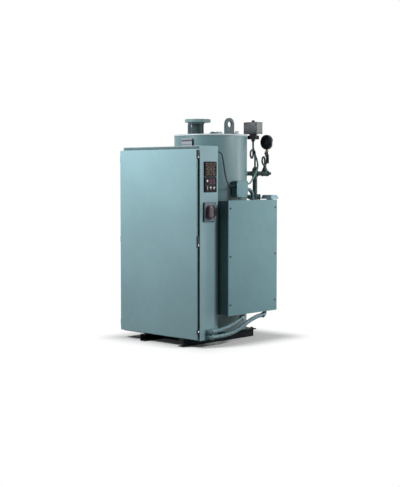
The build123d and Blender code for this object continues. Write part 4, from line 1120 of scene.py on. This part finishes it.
def make_world():
    """A surround that looks white and gives little light."""
    world = bpy.data.worlds.new("surround")
    world.use_nodes = True
    tree = world.node_tree
    back = tree.nodes["Background"]
    back.inputs["Color"].default_value = (1, 1, 1, 1)
    strength = add_node(tree, "MapRange", Value=seen_ray(tree), To_Min=surround_light, To_Max=1.0)
    tree.links.new(strength.outputs[0], back.inputs["Strength"])
    bpy.context.scene.world = world


def make_floor():
    """A wide flat square: plain under the object, and turning white with the distance from it."""
    far = floor_reach
    corners = [(-far, -far, 0), (far, -far, 0), (far, far, 0), (-far, far, 0)]
    mesh = bpy.data.meshes.new("floor")
    mesh.from_pydata(corners, [], [(0, 1, 2, 3)])
    floor = bpy.data.objects.new("floor", mesh)
    bpy.context.scene.collection.objects.link(floor)
    material = bpy.data.materials.new("floor")
    material.use_nodes = True
    tree = material.node_tree
    tree.nodes.remove(tree.nodes["Principled BSDF"])
    place = add_node(tree, "TexCoord").outputs["Object"]
    centred = add_node(tree, "Mapping", Vector=place, Location=floor_shift).outputs[0]
    across = calculate(tree, "VectorMath", "ABSOLUTE", centred)
    outside = calculate(tree, "VectorMath", "SUBTRACT", across, half_plain)
    outside = calculate(tree, "VectorMath", "MAXIMUM", outside, (0, 0, 0))
    fade = ramp(tree, calculate(tree, "VectorMath", "LENGTH", outside), fade_near, fade_far)
    seen = seen_ray(tree)
    matt = add_node(tree, "BsdfDiffuse", Color=mix_colour(tree, seen, floor_bounce, floor_white))
    white = add_node(tree, "Emission", Strength=1.0)
    blend = tree.nodes.new("ShaderNodeMixShader")
    mixed = (times(tree, fade, seen), matt.outputs[0], white.outputs[0])
    for socket, value in zip(blend.inputs, mixed):
        tree.links.new(value, socket)
    tree.links.new(blend.outputs[0], tree.nodes["Material Output"].inputs["Surface"])
    mesh.materials.append(material)


def add_softbox(name, place, target, width, height, power):
    """A soft rectangular lamp of a power in watts, which faces its target."""
    lamp = bpy.data.lights.new(name, "AREA")
    lamp.shape = "RECTANGLE"
    lamp.size = width
    lamp.size_y = height
    lamp.energy = power
    holder = bpy.data.objects.new(name, lamp)
    holder.location = place
    aim = Vector(target) - Vector(place)
    holder.rotation_euler = aim.to_track_quat("-Z", "Y").to_euler()
    bpy.context.scene.collection.objects.link(holder)


make_world()
make_floor()
add_softbox("key", (-0.6, -2.1, 2.55), (0.0, -0.5, 1.25), 0.55, 1.2, 62)
add_softbox("side", (3.1, 1.2, 2.6), (0.3, 0, 1.0), 0.8, 0.8, 78)
add_softbox("strip", (1.9, 2.25, 1.0), (0.2, 0.1, 1.1), 0.45, 1.8, 16)
